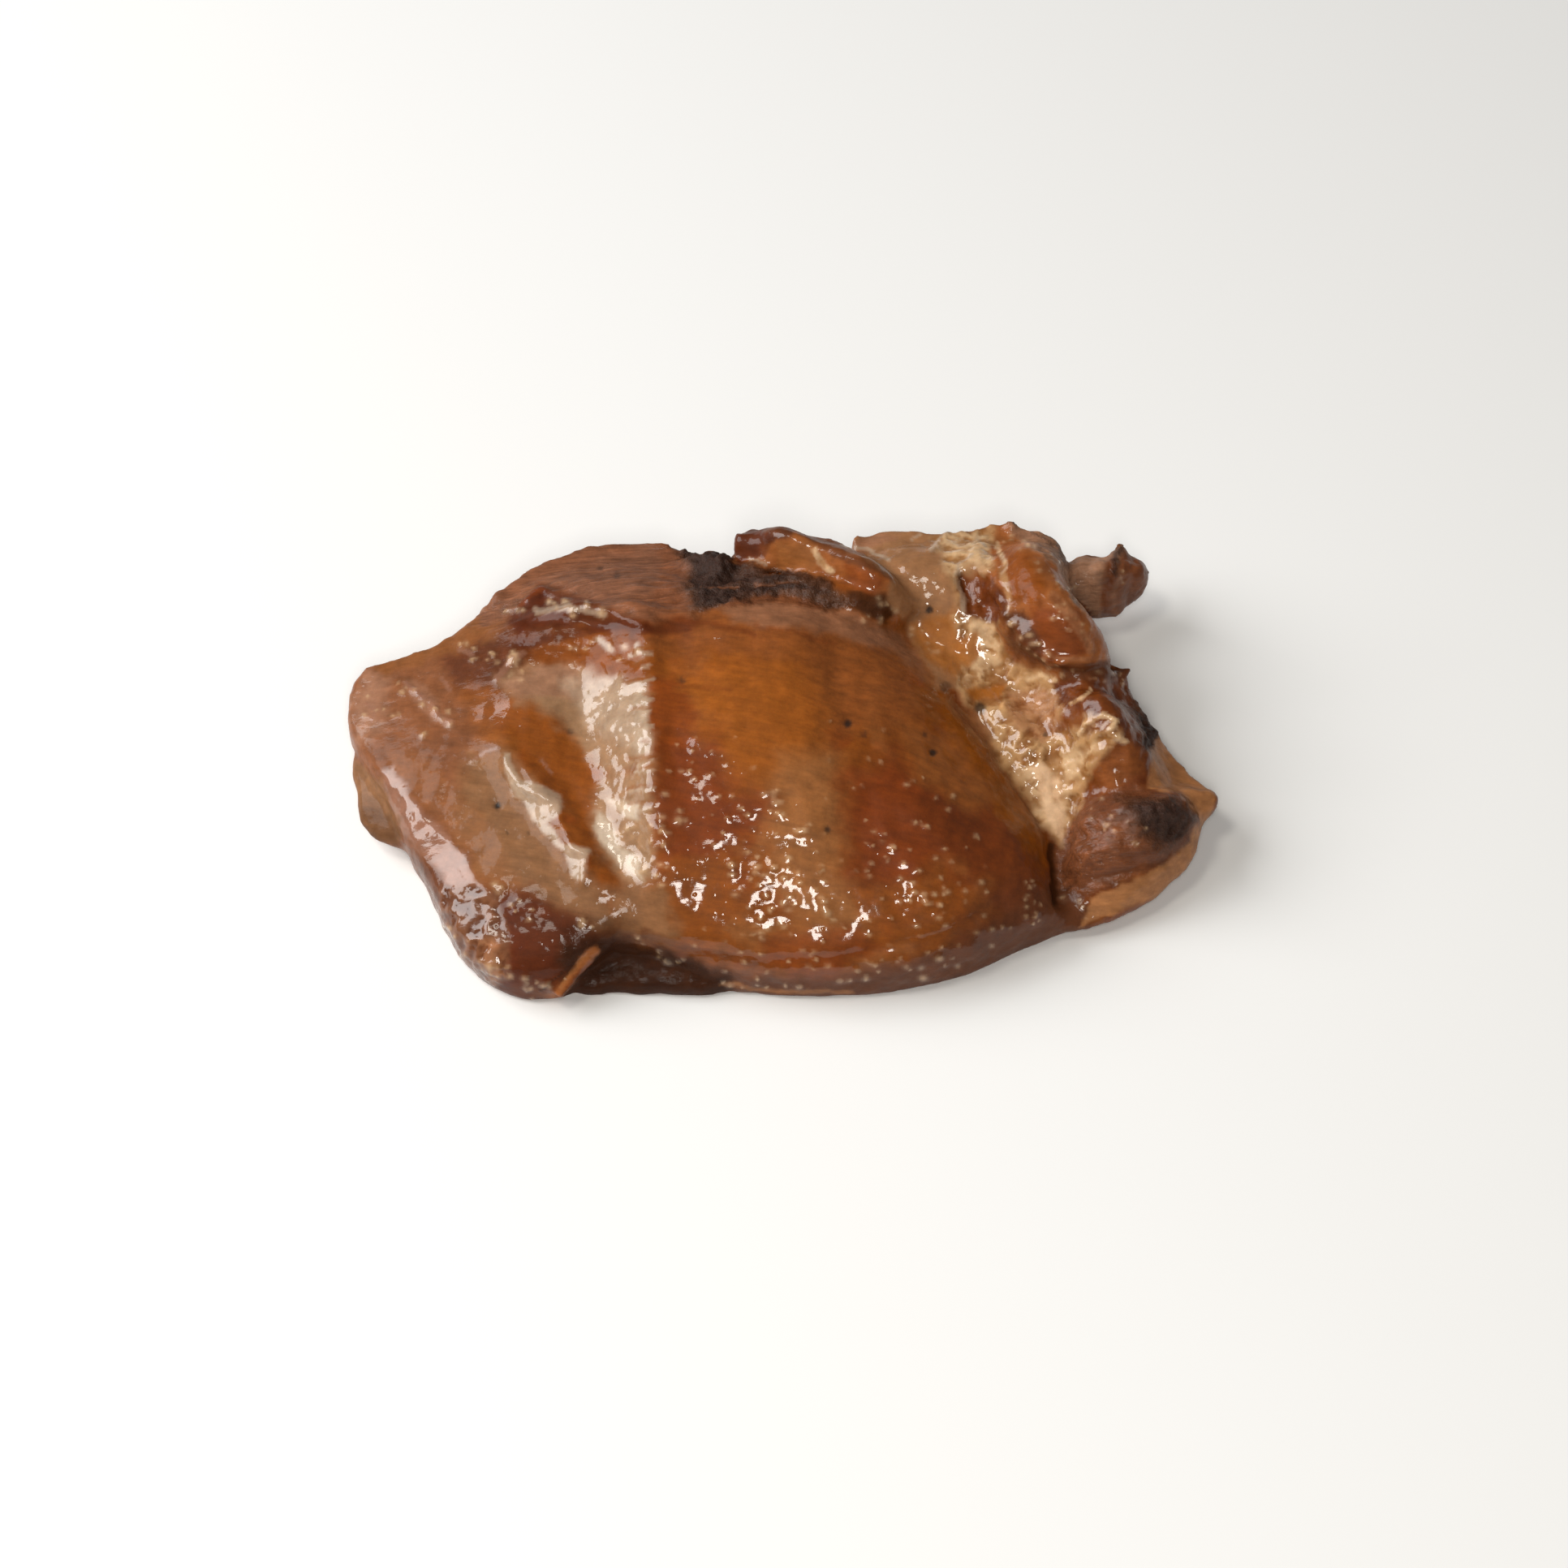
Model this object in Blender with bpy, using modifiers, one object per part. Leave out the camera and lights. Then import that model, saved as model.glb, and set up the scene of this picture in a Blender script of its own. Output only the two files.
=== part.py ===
"""Barbecued chicken leg, boned, opened flat and grilled with its skin on, as one solid piece of meat.

The piece lies on its flat underside. +X runs along its length, +Y away from the front edge and +Z up.
Lengths in the tables below are millimetres; the model itself is in metres.
"""

import math

import bmesh
import bpy
import numpy as np
from mathutils import Vector, noise

MM = 0.001
NODE = "barbecue_chicken"

# Driving dimensions, in millimetres.
CROWN_HEIGHT = 30.0  # top of the thigh above the base
BASE_DEPTH = -3.5  # how far the pads reach under the base plane before it is cut flat
FUSE_VOXEL = 0.9  # how closely the fused pads keep their own forms
FUSE_SMOOTHING = 4
MOST_TRIANGLES = 10600

PAD_SEGMENTS = 128
PAD_RINGS = 48

# Relief of the cooked surface: size of the swells and their height.
SWELL_SIZE = 11.0
SWELL_HEIGHT = 0.5
WRINKLE_SIZE = 4.2
WRINKLE_HEIGHT = 0.3
FIBRE_SPACING = 3.4
FIBRE_HEIGHT = 0.35
FIBRE_STRETCH = 4.0  # how much longer the fibres are than wide
BARE_MEAT_FROM = 24.0  # behind this line, in y, the meat lies bare and shows its fibres
BARE_MEAT_BLEND = 2.0

SKIN_COLOUR = (0.30, 0.095, 0.022, 1.0)
SKIN_ROUGHNESS = 0.25


def closed_curve(points, count=720):
    """A smooth closed curve through the points (Catmull-Rom), as an array of count points."""
    ring = np.array(points, float)
    size = len(ring)
    place = np.linspace(0, size, count, endpoint=False)
    index = np.floor(place).astype(int)
    t = (place - index)[:, None]
    before, start, end, after = (ring[(index + k) % size] for k in (-1, 0, 1, 2))
    return 0.5 * (
        2 * start
        + (end - before) * t
        + (2 * before - 5 * start + 4 * end - after) * t**2
        + (3 * start - before - 3 * end + after) * t**3
    )


def rim_by_angle(points, centre):
    """A function of the angle round the centre, giving the rim's (x, y, z) there."""
    curve = closed_curve(points)
    angle = np.arctan2(curve[:, 1] - centre[1], curve[:, 0] - centre[0])
    order = np.argsort(angle)
    angle, curve = angle[order], curve[order]
    return lambda a: np.array([np.interp(a, angle, curve[:, k], period=2 * math.pi) for k in range(3)])


def soft_crowns(x, y, crowns, sharpness=4):
    """The soft maximum of several domes. Each is (x, y, radius along, radius across, turn, height)."""
    total = 0.0
    for cx, cy, along, across, turn, height in crowns:
        a = math.radians(turn)
        u = (x - cx) * math.cos(a) + (y - cy) * math.sin(a)
        v = (y - cy) * math.cos(a) - (x - cx) * math.sin(a)
        total += (height * math.exp(-0.5 * ((u / along) ** 2 + (v / across) ** 2))) ** sharpness
    return total ** (1 / sharpness)


def distance_to_path(x, y, path):
    """How far (x, y) lies from a chain of straight runs."""
    nearest = math.inf
    here = Vector((x, y))
    for start, end in zip(path, path[1:]):
        a, b = Vector(start), Vector(end)
        run = b - a
        t = min(1.0, max(0.0, (here - a).dot(run) / run.length_squared))
        nearest = min(nearest, (here - a - run * t).length)
    return nearest


def folded(x, y, height, folds):
    """The height after the folds: each is (path, half width, height added along it)."""
    for path, half_width, added in folds:
        height += added * math.exp(-((distance_to_path(x, y, path) / half_width) ** 2))
    return height


def pad(name, centre, rim, crowns, folds=(), under=None, fullness=0.62):
    """A closed lump of meat, made from a sphere. Its equator is stretched to the rim, its upper half is
    raised to the crowns and folds, and its lower half is let down to the height called under.
    A smaller fullness makes the top flatter and the sides steeper."""
    mesh = bpy.data.meshes.new(name)
    shape = bmesh.new()
    bmesh.ops.create_uvsphere(shape, u_segments=PAD_SEGMENTS, v_segments=PAD_RINGS, radius=1.0)
    rim_at = rim_by_angle(rim, centre)
    for vert in shape.verts:
        reach = min(1.0, math.hypot(vert.co.x, vert.co.y))
        edge = rim_at(math.atan2(vert.co.y, vert.co.x))
        x = centre[0] + reach * (edge[0] - centre[0])
        y = centre[1] + reach * (edge[1] - centre[1])
        share = abs(vert.co.z) ** fullness
        if vert.co.z >= 0:
            target = folded(x, y, soft_crowns(x, y, crowns), folds)
        else:
            target = BASE_DEPTH if under is None else under
        vert.co = Vector((x, y, edge[2] + share * (target - edge[2]))) * MM
    shape.to_mesh(mesh)
    shape.free()
    return bpy.data.objects.new(name, mesh)


def thigh():
    """The broad front lobe under its skin, from the left tip to the valley on the right."""
    rim = [
        (-80.5, 10.5, 12.5), (-77.5, 20, 15), (-63.5, 24, 17), (-54.5, 32.5, 18.5), (-47.5, 40, 21.5),
        (-39, 44.5, 22.5), (-30, 46.5, 23), (-19, 45.5, 23), (-11, 40.5, 22.5), (-6, 33.5, 21.5),
        (4, 32, 21), (14, 29, 20), (30, 27, 14), (44, 22, 10), (52, 6, 8),
        (54, -12, 5), (53, -28, 3), (47.5, -31.6, 3), (40.5, -35, 2.5), (31.5, -39.5, 2.5),
        (13, -43.7, 2.5), (-8, -42.8, 2.5), (-19, -40, 5.5), (-26, -38, 7.5), (-32, -38.5, 8),
        (-38.5, -43.6, 3), (-44, -44.4, 3), (-50, -43.3, 3.5), (-57.5, -37.8, 4.5), (-63.5, -26, 7),
        (-70.5, -12, 10), (-77.5, 2, 12),
    ]  # fmt: skip
    crowns = [
        (-4, -4, 42, 38, 0, CROWN_HEIGHT),
        (-2, 22, 26, 14, 0, 27),
        (-56, 2, 34, 30, 0, 20),
        (-48, -30, 20, 22, -20, 15.5),
        (-34, 24, 26, 17, 8, 26.5),
        (26, -24, 26, 20, -30, 20),
    ]
    folds = [
        ([(-27, 22), (-25, 12), (-25, 0), (-23, -16), (-20, -34)], 3.0, 1.6),
        ([(-38, 12), (-37, 2), (-35, -10), (-29, -26)], 5.0, -3.0),
        ([(-51, -3), (-46, -11), (-40, -18), (-32, -31)], 2.0, 1.9),
        ([(-54, -7), (-48, -16), (-41, -25)], 3.0, -0.8),
        ([(-53, 23), (-45, 25), (-35, 23.5), (-24, 23)], 1.8, 1.2),
        ([(-52, 27), (-44, 29), (-33, 27.5), (-20, 27)], 2.4, -1.8),
        ([(-46, 14), (-40, 17), (-32, 19)], 4.0, -1.0),
        ([(24, 22), (31, 13)], 6.0, -1.4),
        ([(36, 8), (40, 2), (44, -5), (48, -13), (50, -20), (51, -28)], 4.5, -4.0),
        ([(9, 8), (11, -8), (13, -24)], 6.0, -1.1),
        ([(48, -20), (51, -27)], 3.0, -3.0),
    ]
    return pad("thigh", (-10, 0), rim, crowns, folds, fullness=0.42)


def drumstick():
    """The long lobe on the right, from the back edge down to the browned end."""
    rim = [
        (12, 45, 21.5), (18, 48, 22.5), (24.5, 48, 22.5), (29, 47.5, 22.5), (35, 48.3, 23.5),
        (40, 49.2, 24.8), (45, 48.2, 23.8), (50, 47, 21), (53, 43, 18), (52.5, 34, 16), (55, 26, 15),
        (62.5, 18.5, 14), (68.5, 6, 12), (71, -2, 11), (73, -9, 9), (71, -15, 7), (64, -19, 5),
        (54, -22, 5), (50, -20, 5), (46.5, -11, 8), (40, 3, 10), (31.5, 16, 13),
        (20, 30, 17),
    ]  # fmt: skip
    crowns = [
        (30, 35, 22, 14, 0, 25.5),
        (48, 28, 13, 17, 70, 25),
        (58, 4, 18, 8.0, -64, 24.5),
        (42, 6, 9, 15, 28, 17.5),
    ]
    folds = [
        ([(36, 33), (36, 24), (40, 17), (47, 11), (60, 11)], 2.6, -2.4),
        ([(39, 20), (47, 2), (53, -12)], 3.2, -1.6),
        ([(62, -7), (71, -10)], 2.5, -1.4),
        ([(30, 40), (31, 28), (28, 20)], 5.0, -1.2),
    ]
    return pad("drumstick", (50, 14), rim, crowns, folds, under=1.0)


def skin_fold():
    """The upper end of the drumstick, where a roll of skin laps over the lower part."""
    rim = [
        (36, 42, 25), (37, 32, 26.5), (39, 23.5, 26.5), (43, 17.5, 25.5), (49.5, 13.4, 24.5),
        (57, 13, 21.5), (61, 18, 16.5), (55.3, 25, 16), (52.8, 35, 16.5), (52.5, 42.5, 18),
        (49, 46.5, 20), (42.5, 47.5, 22),
    ]  # fmt: skip
    crowns = [(46, 31, 15, 15, 0, 31), (52, 20, 12, 8, -20, 28.5)]
    folds = [([(50, 42), (54, 30)], 3.0, -1.2), ([(44, 40), (44, 30), (47, 21)], 3.5, 0.9)]
    return pad("skin_fold", (48, 29), rim, crowns, folds, under=13.0, fullness=0.55)


def browned_end():
    """The rounded lump of browned meat at the front end of the drumstick."""
    rim = [
        (54, -7, 9), (51.5, -17, 7), (51, -25.5, 4), (58, -28.5, 3), (66, -24.5, 4),
        (72, -18, 6), (75, -12, 8), (73, -4, 8), (63, -1, 10),
    ]  # fmt: skip
    crowns = [(60, -14, 14, 12, 10, 17.5), (69, -12, 8, 6, 20, 16.5)]
    folds = [([(54, -20), (63, -21), (71, -17)], 2.0, -1.2), ([(58, -10), (66, -12)], 2.5, -0.8)]
    return pad("browned_end", (63, -16), rim, crowns, folds, under=2.0, fullness=0.6)


def back_finger():
    """The short finger of meat that points left from behind the charred edge."""
    rim = [
        (-9.5, 41.5, 27.5), (-5.5, 47, 28), (3, 45.5, 28), (12, 42, 27), (21, 37.5, 25.5),
        (25, 30.5, 23), (19, 23.5, 21), (9, 26, 21), (0, 30, 20), (-5.5, 35.5, 20.5),
    ]  # fmt: skip
    crowns = [(-1, 39, 9, 6, -25, 31), (10, 35, 12, 7, -30, 30.5), (18, 30, 8, 6, -35, 28)]
    folds = [([(-6, 41), (4, 40), (14, 35)], 1.6, -0.7)]
    return pad("back_finger", (7, 34.5), rim, crowns, folds, under=15.0)


def knuckle():
    """The small knob that sticks out at the back on the right."""
    rim = [
        (50, 41, 13), (54, 46.5, 14.5), (59, 48.5, 14), (64.5, 48, 13.5), (68.8, 44.5, 11.5),
        (66.2, 41, 8.5), (60.8, 38.2, 6.8), (53, 37.5, 9),
    ]  # fmt: skip
    crowns = [(58, 42, 8, 7, 0, 17.5), (66, 43.5, 4, 5, 10, 16)]
    folds = [([(63.5, 49), (63, 43), (62.5, 37)], 1.8, 1.0)]
    return pad("knuckle", (60, 42), rim, crowns, folds, under=4.0, fullness=0.8)


def left_under_layer():
    """The paler meat that shows below the skin at the left edge."""
    rim = [
        (-79, 4, 8), (-78.5, -4, 7), (-77, -10, 5), (-71, -14, 4.5), (-60, -12, 4), (-58, 6, 6),
        (-70, 9, 8),
    ]  # fmt: skip
    return pad("left_under_layer", (-68, -2), rim, [(-68, -2, 30, 30, 0, 10)], under=3.0)


def right_under_layer():
    """The thin tan layer whose edge shows round the drumstick's browned end."""
    rim = [
        (62, 12, 11), (70, 4.5, 11.5), (74.5, -1, 11), (79, -6.6, 10), (75.8, -10.4, 8.5), (74.4, -16.5, 6.5),
        (68, -23.8, 4.5), (61, -28, 3.5), (54, -31, 2.5), (48, -29, 3), (48, -16, 3), (54, 0, 5),
    ]  # fmt: skip
    return pad("right_under_layer", (62, -10), rim, [(64, -9, 26, 26, 0, 10.5)], under=1.0)


def front_under_meat():
    """The dark meat set back under the skin at the front, between the left tip and the thigh."""
    rim = [
        (-37, -42.5, 2.5), (-30, -43, 2.5), (-22, -43.2, 2.5), (-12, -43.2, 2.5), (-4, -38, 3), (-14, -28, 4),
        (-34, -30, 4),
    ]  # fmt: skip
    return pad("front_under_meat", (-20, -37), rim, [(-20, -37, 20, 12, 0, 5)])


def tapered_rod(name, start, end, start_radius, end_radius):
    """A cone between two points, given in millimetres."""
    a, b = Vector(start), Vector(end)
    shape = bmesh.new()
    bmesh.ops.create_cone(
        shape,
        cap_ends=True,
        segments=12,
        radius1=start_radius * MM,
        radius2=end_radius * MM,
        depth=(b - a).length * MM,
    )
    mesh = bpy.data.meshes.new(name)
    shape.to_mesh(mesh)
    shape.free()
    rod = bpy.data.objects.new(name, mesh)
    turn = (b - a).to_track_quat("Z", "Y")
    mesh.transform(turn.to_matrix().to_4x4())
    rod.location = (a + b) / 2 * MM
    return rod


def torn_shreds():
    """Shreds and points of meat that stand out from the edges: (start, end, start radius, end radius)."""
    shreds = [
        ((-31, -36.5, 10.5), (-40.5, -46.3, 4.5), 1.7, 1.3),
        ((-54, 31, 16), (-53, 33.5, 20.5), 1.9, 0.7),
        ((-4, 40, 25), (-9.5, 41.5, 25.2), 2.4, 0.7),
        ((63, 41.5, 8), (62, 38.2, 5.8), 2.4, 1.0),
        ((62.5, 45, 13), (63.2, 48.4, 16.5), 2.4, 1.2),
        ((72, -6.5, 9.8), (78.4, -6.6, 10.4), 2.6, 1.0),
        ((61.5, 18, 13.5), (64, 20, 15), 1.9, 0.9),
        ((-6, 30, 23.5), (-5.5, 36, 23.5), 3.0, 2.6),
    ]
    return [tapered_rod(f"shred_{n}", *shred) for n, shred in enumerate(shreds)]


def charred_edge():
    """The burnt upper edge of the skin: a chain of thick rods from the back meat to the finger."""
    chain = [
        (-18, 39, 20), (-11, 36, 21.5), (-15, 28, 24.5), (-5, 30, 25.3), (4, 29.5, 25.5),
        (12, 26.5, 25), (18, 26, 23),
    ]  # fmt: skip
    return [tapered_rod(f"char_{n}", a, b, 2.6, 2.4) for n, (a, b) in enumerate(zip(chain, chain[1:]))]


def char_crumbs():
    """Lumps of burnt crust along the charred edge, scattered by a seeded draw."""
    runs = [((-18, 40, 21), (-9, 35.5, 23), 16, 1.9), ((-15, 29, 25), (12, 27.5, 26), 18, 1.4)]
    noise.seed_set(7)
    crumbs = []
    for start, end, count, radius in runs:
        for step in range(count):
            place = Vector(start).lerp(Vector(end), (step + 0.5) / count)
            place += noise.random_unit_vector() * radius * (0.4 + 0.9 * noise.random())
            size = radius * (0.7 + 0.6 * noise.random())
            mesh = bpy.data.meshes.new("crumb")
            shape = bmesh.new()
            bmesh.ops.create_icosphere(shape, subdivisions=2, radius=size * MM)
            shape.to_mesh(mesh)
            shape.free()
            crumb = bpy.data.objects.new(f"crumb_{len(crumbs)}", mesh)
            crumb.location = place * MM
            crumbs.append(crumb)
    return crumbs


def fused(pieces, parts, helpers):
    """Joins the pads and shreds with one Boolean, and melts their seams with a voxel remesh."""
    body, others = pieces[0], pieces[1:]
    parts.objects.link(body)
    for piece in others:
        piece.hide_render = True
        piece.display_type = "WIRE"
        helpers.objects.link(piece)
    join = body.modifiers.new("join", "BOOLEAN")
    join.operation = "UNION"
    join.operand_type = "COLLECTION"
    join.collection = helpers
    join.solver = "EXACT"
    melt = body.modifiers.new("melt", "REMESH")
    melt.mode = "VOXEL"
    melt.voxel_size = FUSE_VOXEL * MM
    soften = body.modifiers.new("soften", "SMOOTH")
    soften.iterations = FUSE_SMOOTHING
    graph = bpy.context.evaluated_depsgraph_get()
    mesh = bpy.data.meshes.new_from_object(body.evaluated_get(graph))
    for piece in pieces:
        bpy.data.objects.remove(piece)
    bpy.data.collections.remove(helpers)
    return mesh


def outer_skin(mesh):
    """Keeps the largest shell alone: the small pockets closed in between the pads become solid meat,
    and scraps left under the cut base go."""
    shape = bmesh.new()
    shape.from_mesh(mesh)
    unseen = set(shape.verts)
    shells = []
    while unseen:
        shell = [unseen.pop()]
        for vert in shell:
            for edge in vert.link_edges:
                other = edge.other_vert(vert)
                if other in unseen:
                    unseen.remove(other)
                    shell.append(other)
        shells.append(shell)
    shells.sort(key=len)
    for shell in shells[:-1]:
        bmesh.ops.delete(shape, geom=shell, context="VERTS")
    shape.to_mesh(mesh)
    shape.free()


def relief(point):
    """How far the cooked surface swells out at a point, in millimetres."""
    swell = noise.fractal(point / SWELL_SIZE, 1.0, 2.0, 3) * SWELL_HEIGHT
    wrinkle = -abs(noise.noise(point / WRINKLE_SIZE)) * WRINKLE_HEIGHT
    along_fibres = Vector((point.x / FIBRE_STRETCH, point.y, point.z)) / FIBRE_SPACING
    bare_meat = 1 / (1 + math.exp((BARE_MEAT_FROM - point.y) / BARE_MEAT_BLEND))
    return swell + wrinkle + bare_meat * noise.noise(along_fibres) * FIBRE_HEIGHT


def roughened(mesh):
    """Moves each point of the mesh along its normal by the relief."""
    moves = [vert.normal * relief(vert.co / MM) * MM for vert in mesh.vertices]
    for vert, move in zip(mesh.vertices, moves):
        vert.co += move


def thinned(body):
    """Brings the mesh to the triangles wanted, with most of them where the surface bends."""
    body.data.calc_loop_triangles()
    ratio = MOST_TRIANGLES / len(body.data.loop_triangles)
    thin = body.modifiers.new("thin", "DECIMATE")
    thin.ratio = ratio
    graph = bpy.context.evaluated_depsgraph_get()
    mesh = bpy.data.meshes.new_from_object(body.evaluated_get(graph))
    body.modifiers.clear()
    body.data = mesh


def flat_base(mesh):
    """Cuts everything below the base plane off, and closes the cut with one flat face."""
    shape = bmesh.new()
    shape.from_mesh(mesh)
    geometry = shape.verts[:] + shape.edges[:] + shape.faces[:]
    cut = bmesh.ops.bisect_plane(
        shape, geom=geometry, plane_co=(0, 0, 0), plane_no=(0, 0, 1), clear_inner=True
    )
    rim = [item for item in cut["geom_cut"] if isinstance(item, bmesh.types.BMEdge)]
    bmesh.ops.holes_fill(shape, edges=rim, sides=0)
    bmesh.ops.triangulate(shape, faces=shape.faces[:])
    bmesh.ops.recalc_face_normals(shape, faces=shape.faces[:])
    shape.to_mesh(mesh)
    shape.free()


def centred(mesh):
    """Puts the middle of the base at the origin."""
    points = np.array([vert.co for vert in mesh.vertices])
    middle = (points.min(0) + points.max(0)) / 2
    for vert in mesh.vertices:
        vert.co.x -= middle[0]
        vert.co.y -= middle[1]


def skin_material():
    material = bpy.data.materials.new("glazed_skin")
    material.use_nodes = True
    surface = material.node_tree.nodes["Principled BSDF"]
    surface.inputs["Base Color"].default_value = SKIN_COLOUR
    surface.inputs["Roughness"].default_value = SKIN_ROUGHNESS
    surface.inputs["Metallic"].default_value = 0.0
    return material


def main():
    for obj in list(bpy.data.objects):
        bpy.data.objects.remove(obj)
    parts = bpy.data.collections.new("chicken")
    helpers = bpy.data.collections.new("lobes")
    bpy.context.scene.collection.children.link(parts)
    bpy.context.scene.collection.children.link(helpers)

    pads = [
        thigh(),
        drumstick(),
        skin_fold(),
        browned_end(),
        back_finger(),
        knuckle(),
        left_under_layer(),
        right_under_layer(),
        front_under_meat(),
    ]
    mesh = fused(pads + torn_shreds() + charred_edge() + char_crumbs(), parts, helpers)
    roughened(mesh)
    chicken = bpy.data.objects.new(NODE, mesh)
    parts.objects.link(chicken)
    thinned(chicken)
    flat_base(chicken.data)
    outer_skin(chicken.data)
    centred(chicken.data)
    chicken.data.materials.clear()
    chicken.data.materials.append(skin_material())
    chicken.data.shade_smooth()


main()
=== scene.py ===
"""The looks of a barbecued chicken leg: its browned skin, bare meat, burnt edge and wet glaze.

Lengths are in millimetres unless a name says otherwise, and MM turns them into metres. A place on the
meat is named by where it shows in the photograph, as a pixel of its 1932 x 1932 frame. The camera below
carries each point of the meat to its pixel, so that a zone drawn over the frame lands on the meat.
"""

import math

import bpy
import numpy as np
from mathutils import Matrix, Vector, noise
from mathutils.bvhtree import BVHTree


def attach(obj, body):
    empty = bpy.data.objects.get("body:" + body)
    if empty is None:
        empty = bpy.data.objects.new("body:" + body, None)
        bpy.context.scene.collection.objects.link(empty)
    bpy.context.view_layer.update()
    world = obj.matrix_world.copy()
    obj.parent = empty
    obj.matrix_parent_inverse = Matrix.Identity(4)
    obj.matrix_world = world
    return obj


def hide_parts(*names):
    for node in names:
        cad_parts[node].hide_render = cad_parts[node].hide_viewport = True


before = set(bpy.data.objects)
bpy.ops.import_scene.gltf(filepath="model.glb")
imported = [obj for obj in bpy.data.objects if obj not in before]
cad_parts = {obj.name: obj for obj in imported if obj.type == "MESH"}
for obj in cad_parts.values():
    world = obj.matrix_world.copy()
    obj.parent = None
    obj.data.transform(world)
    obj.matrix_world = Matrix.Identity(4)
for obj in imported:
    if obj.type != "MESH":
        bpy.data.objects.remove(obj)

bpy.context.view_layer.update()

NODE = "barbecue_chicken"
MM = 0.001

# The camera that the photograph is taken to come from, and the size of its frame.
FRAME_PX = 1932
LENS_PX = 5280.0
SENSOR = 36.0
ELEVATION = math.radians(54.0)
DISTANCE = 792.0
AIM = Vector((0.6, 2.6, 0.0))

# How finely the meat's surface is meshed before its relief is added, and the most triangles it may have.
VOXEL = 0.55
SMOOTHING = 6
MOST_TRIANGLES = 196000
UNDERSIDE_TO = 0.6  # up to this height the flat underside may be meshed more coarsely
FACING_DOWN = -0.2  # and so may what faces down, where its normal's height is below this

# The studio's lights: azimuth and elevation in degrees, distance, width and height, radiance, colour.
LIGHTS = {
    "window": (-80, 38, 1200, (900, 760), 6.8, (1.0, 1.0, 1.0)),
    "skylight": (-108, 70, 1200, (260, 220), 13.0, (1.0, 0.94, 0.84)),
    "lamp": (179, 53, 900, (135, 260), 26.0, (1.0, 0.96, 0.9)),
}
AMBIENT = 0.11  # the radiance of the air all round
FLOOR_REACH = 3.0  # from the floor's middle to each side of it, in metres
FLOOR_COLOUR = (0.9, 0.9, 0.89, 1)

EXPOSURE = 1.01  # how bright the studio shows a white card
HAZE = 0.012  # what the glaze's own reflection of the studio adds to each colour

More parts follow.
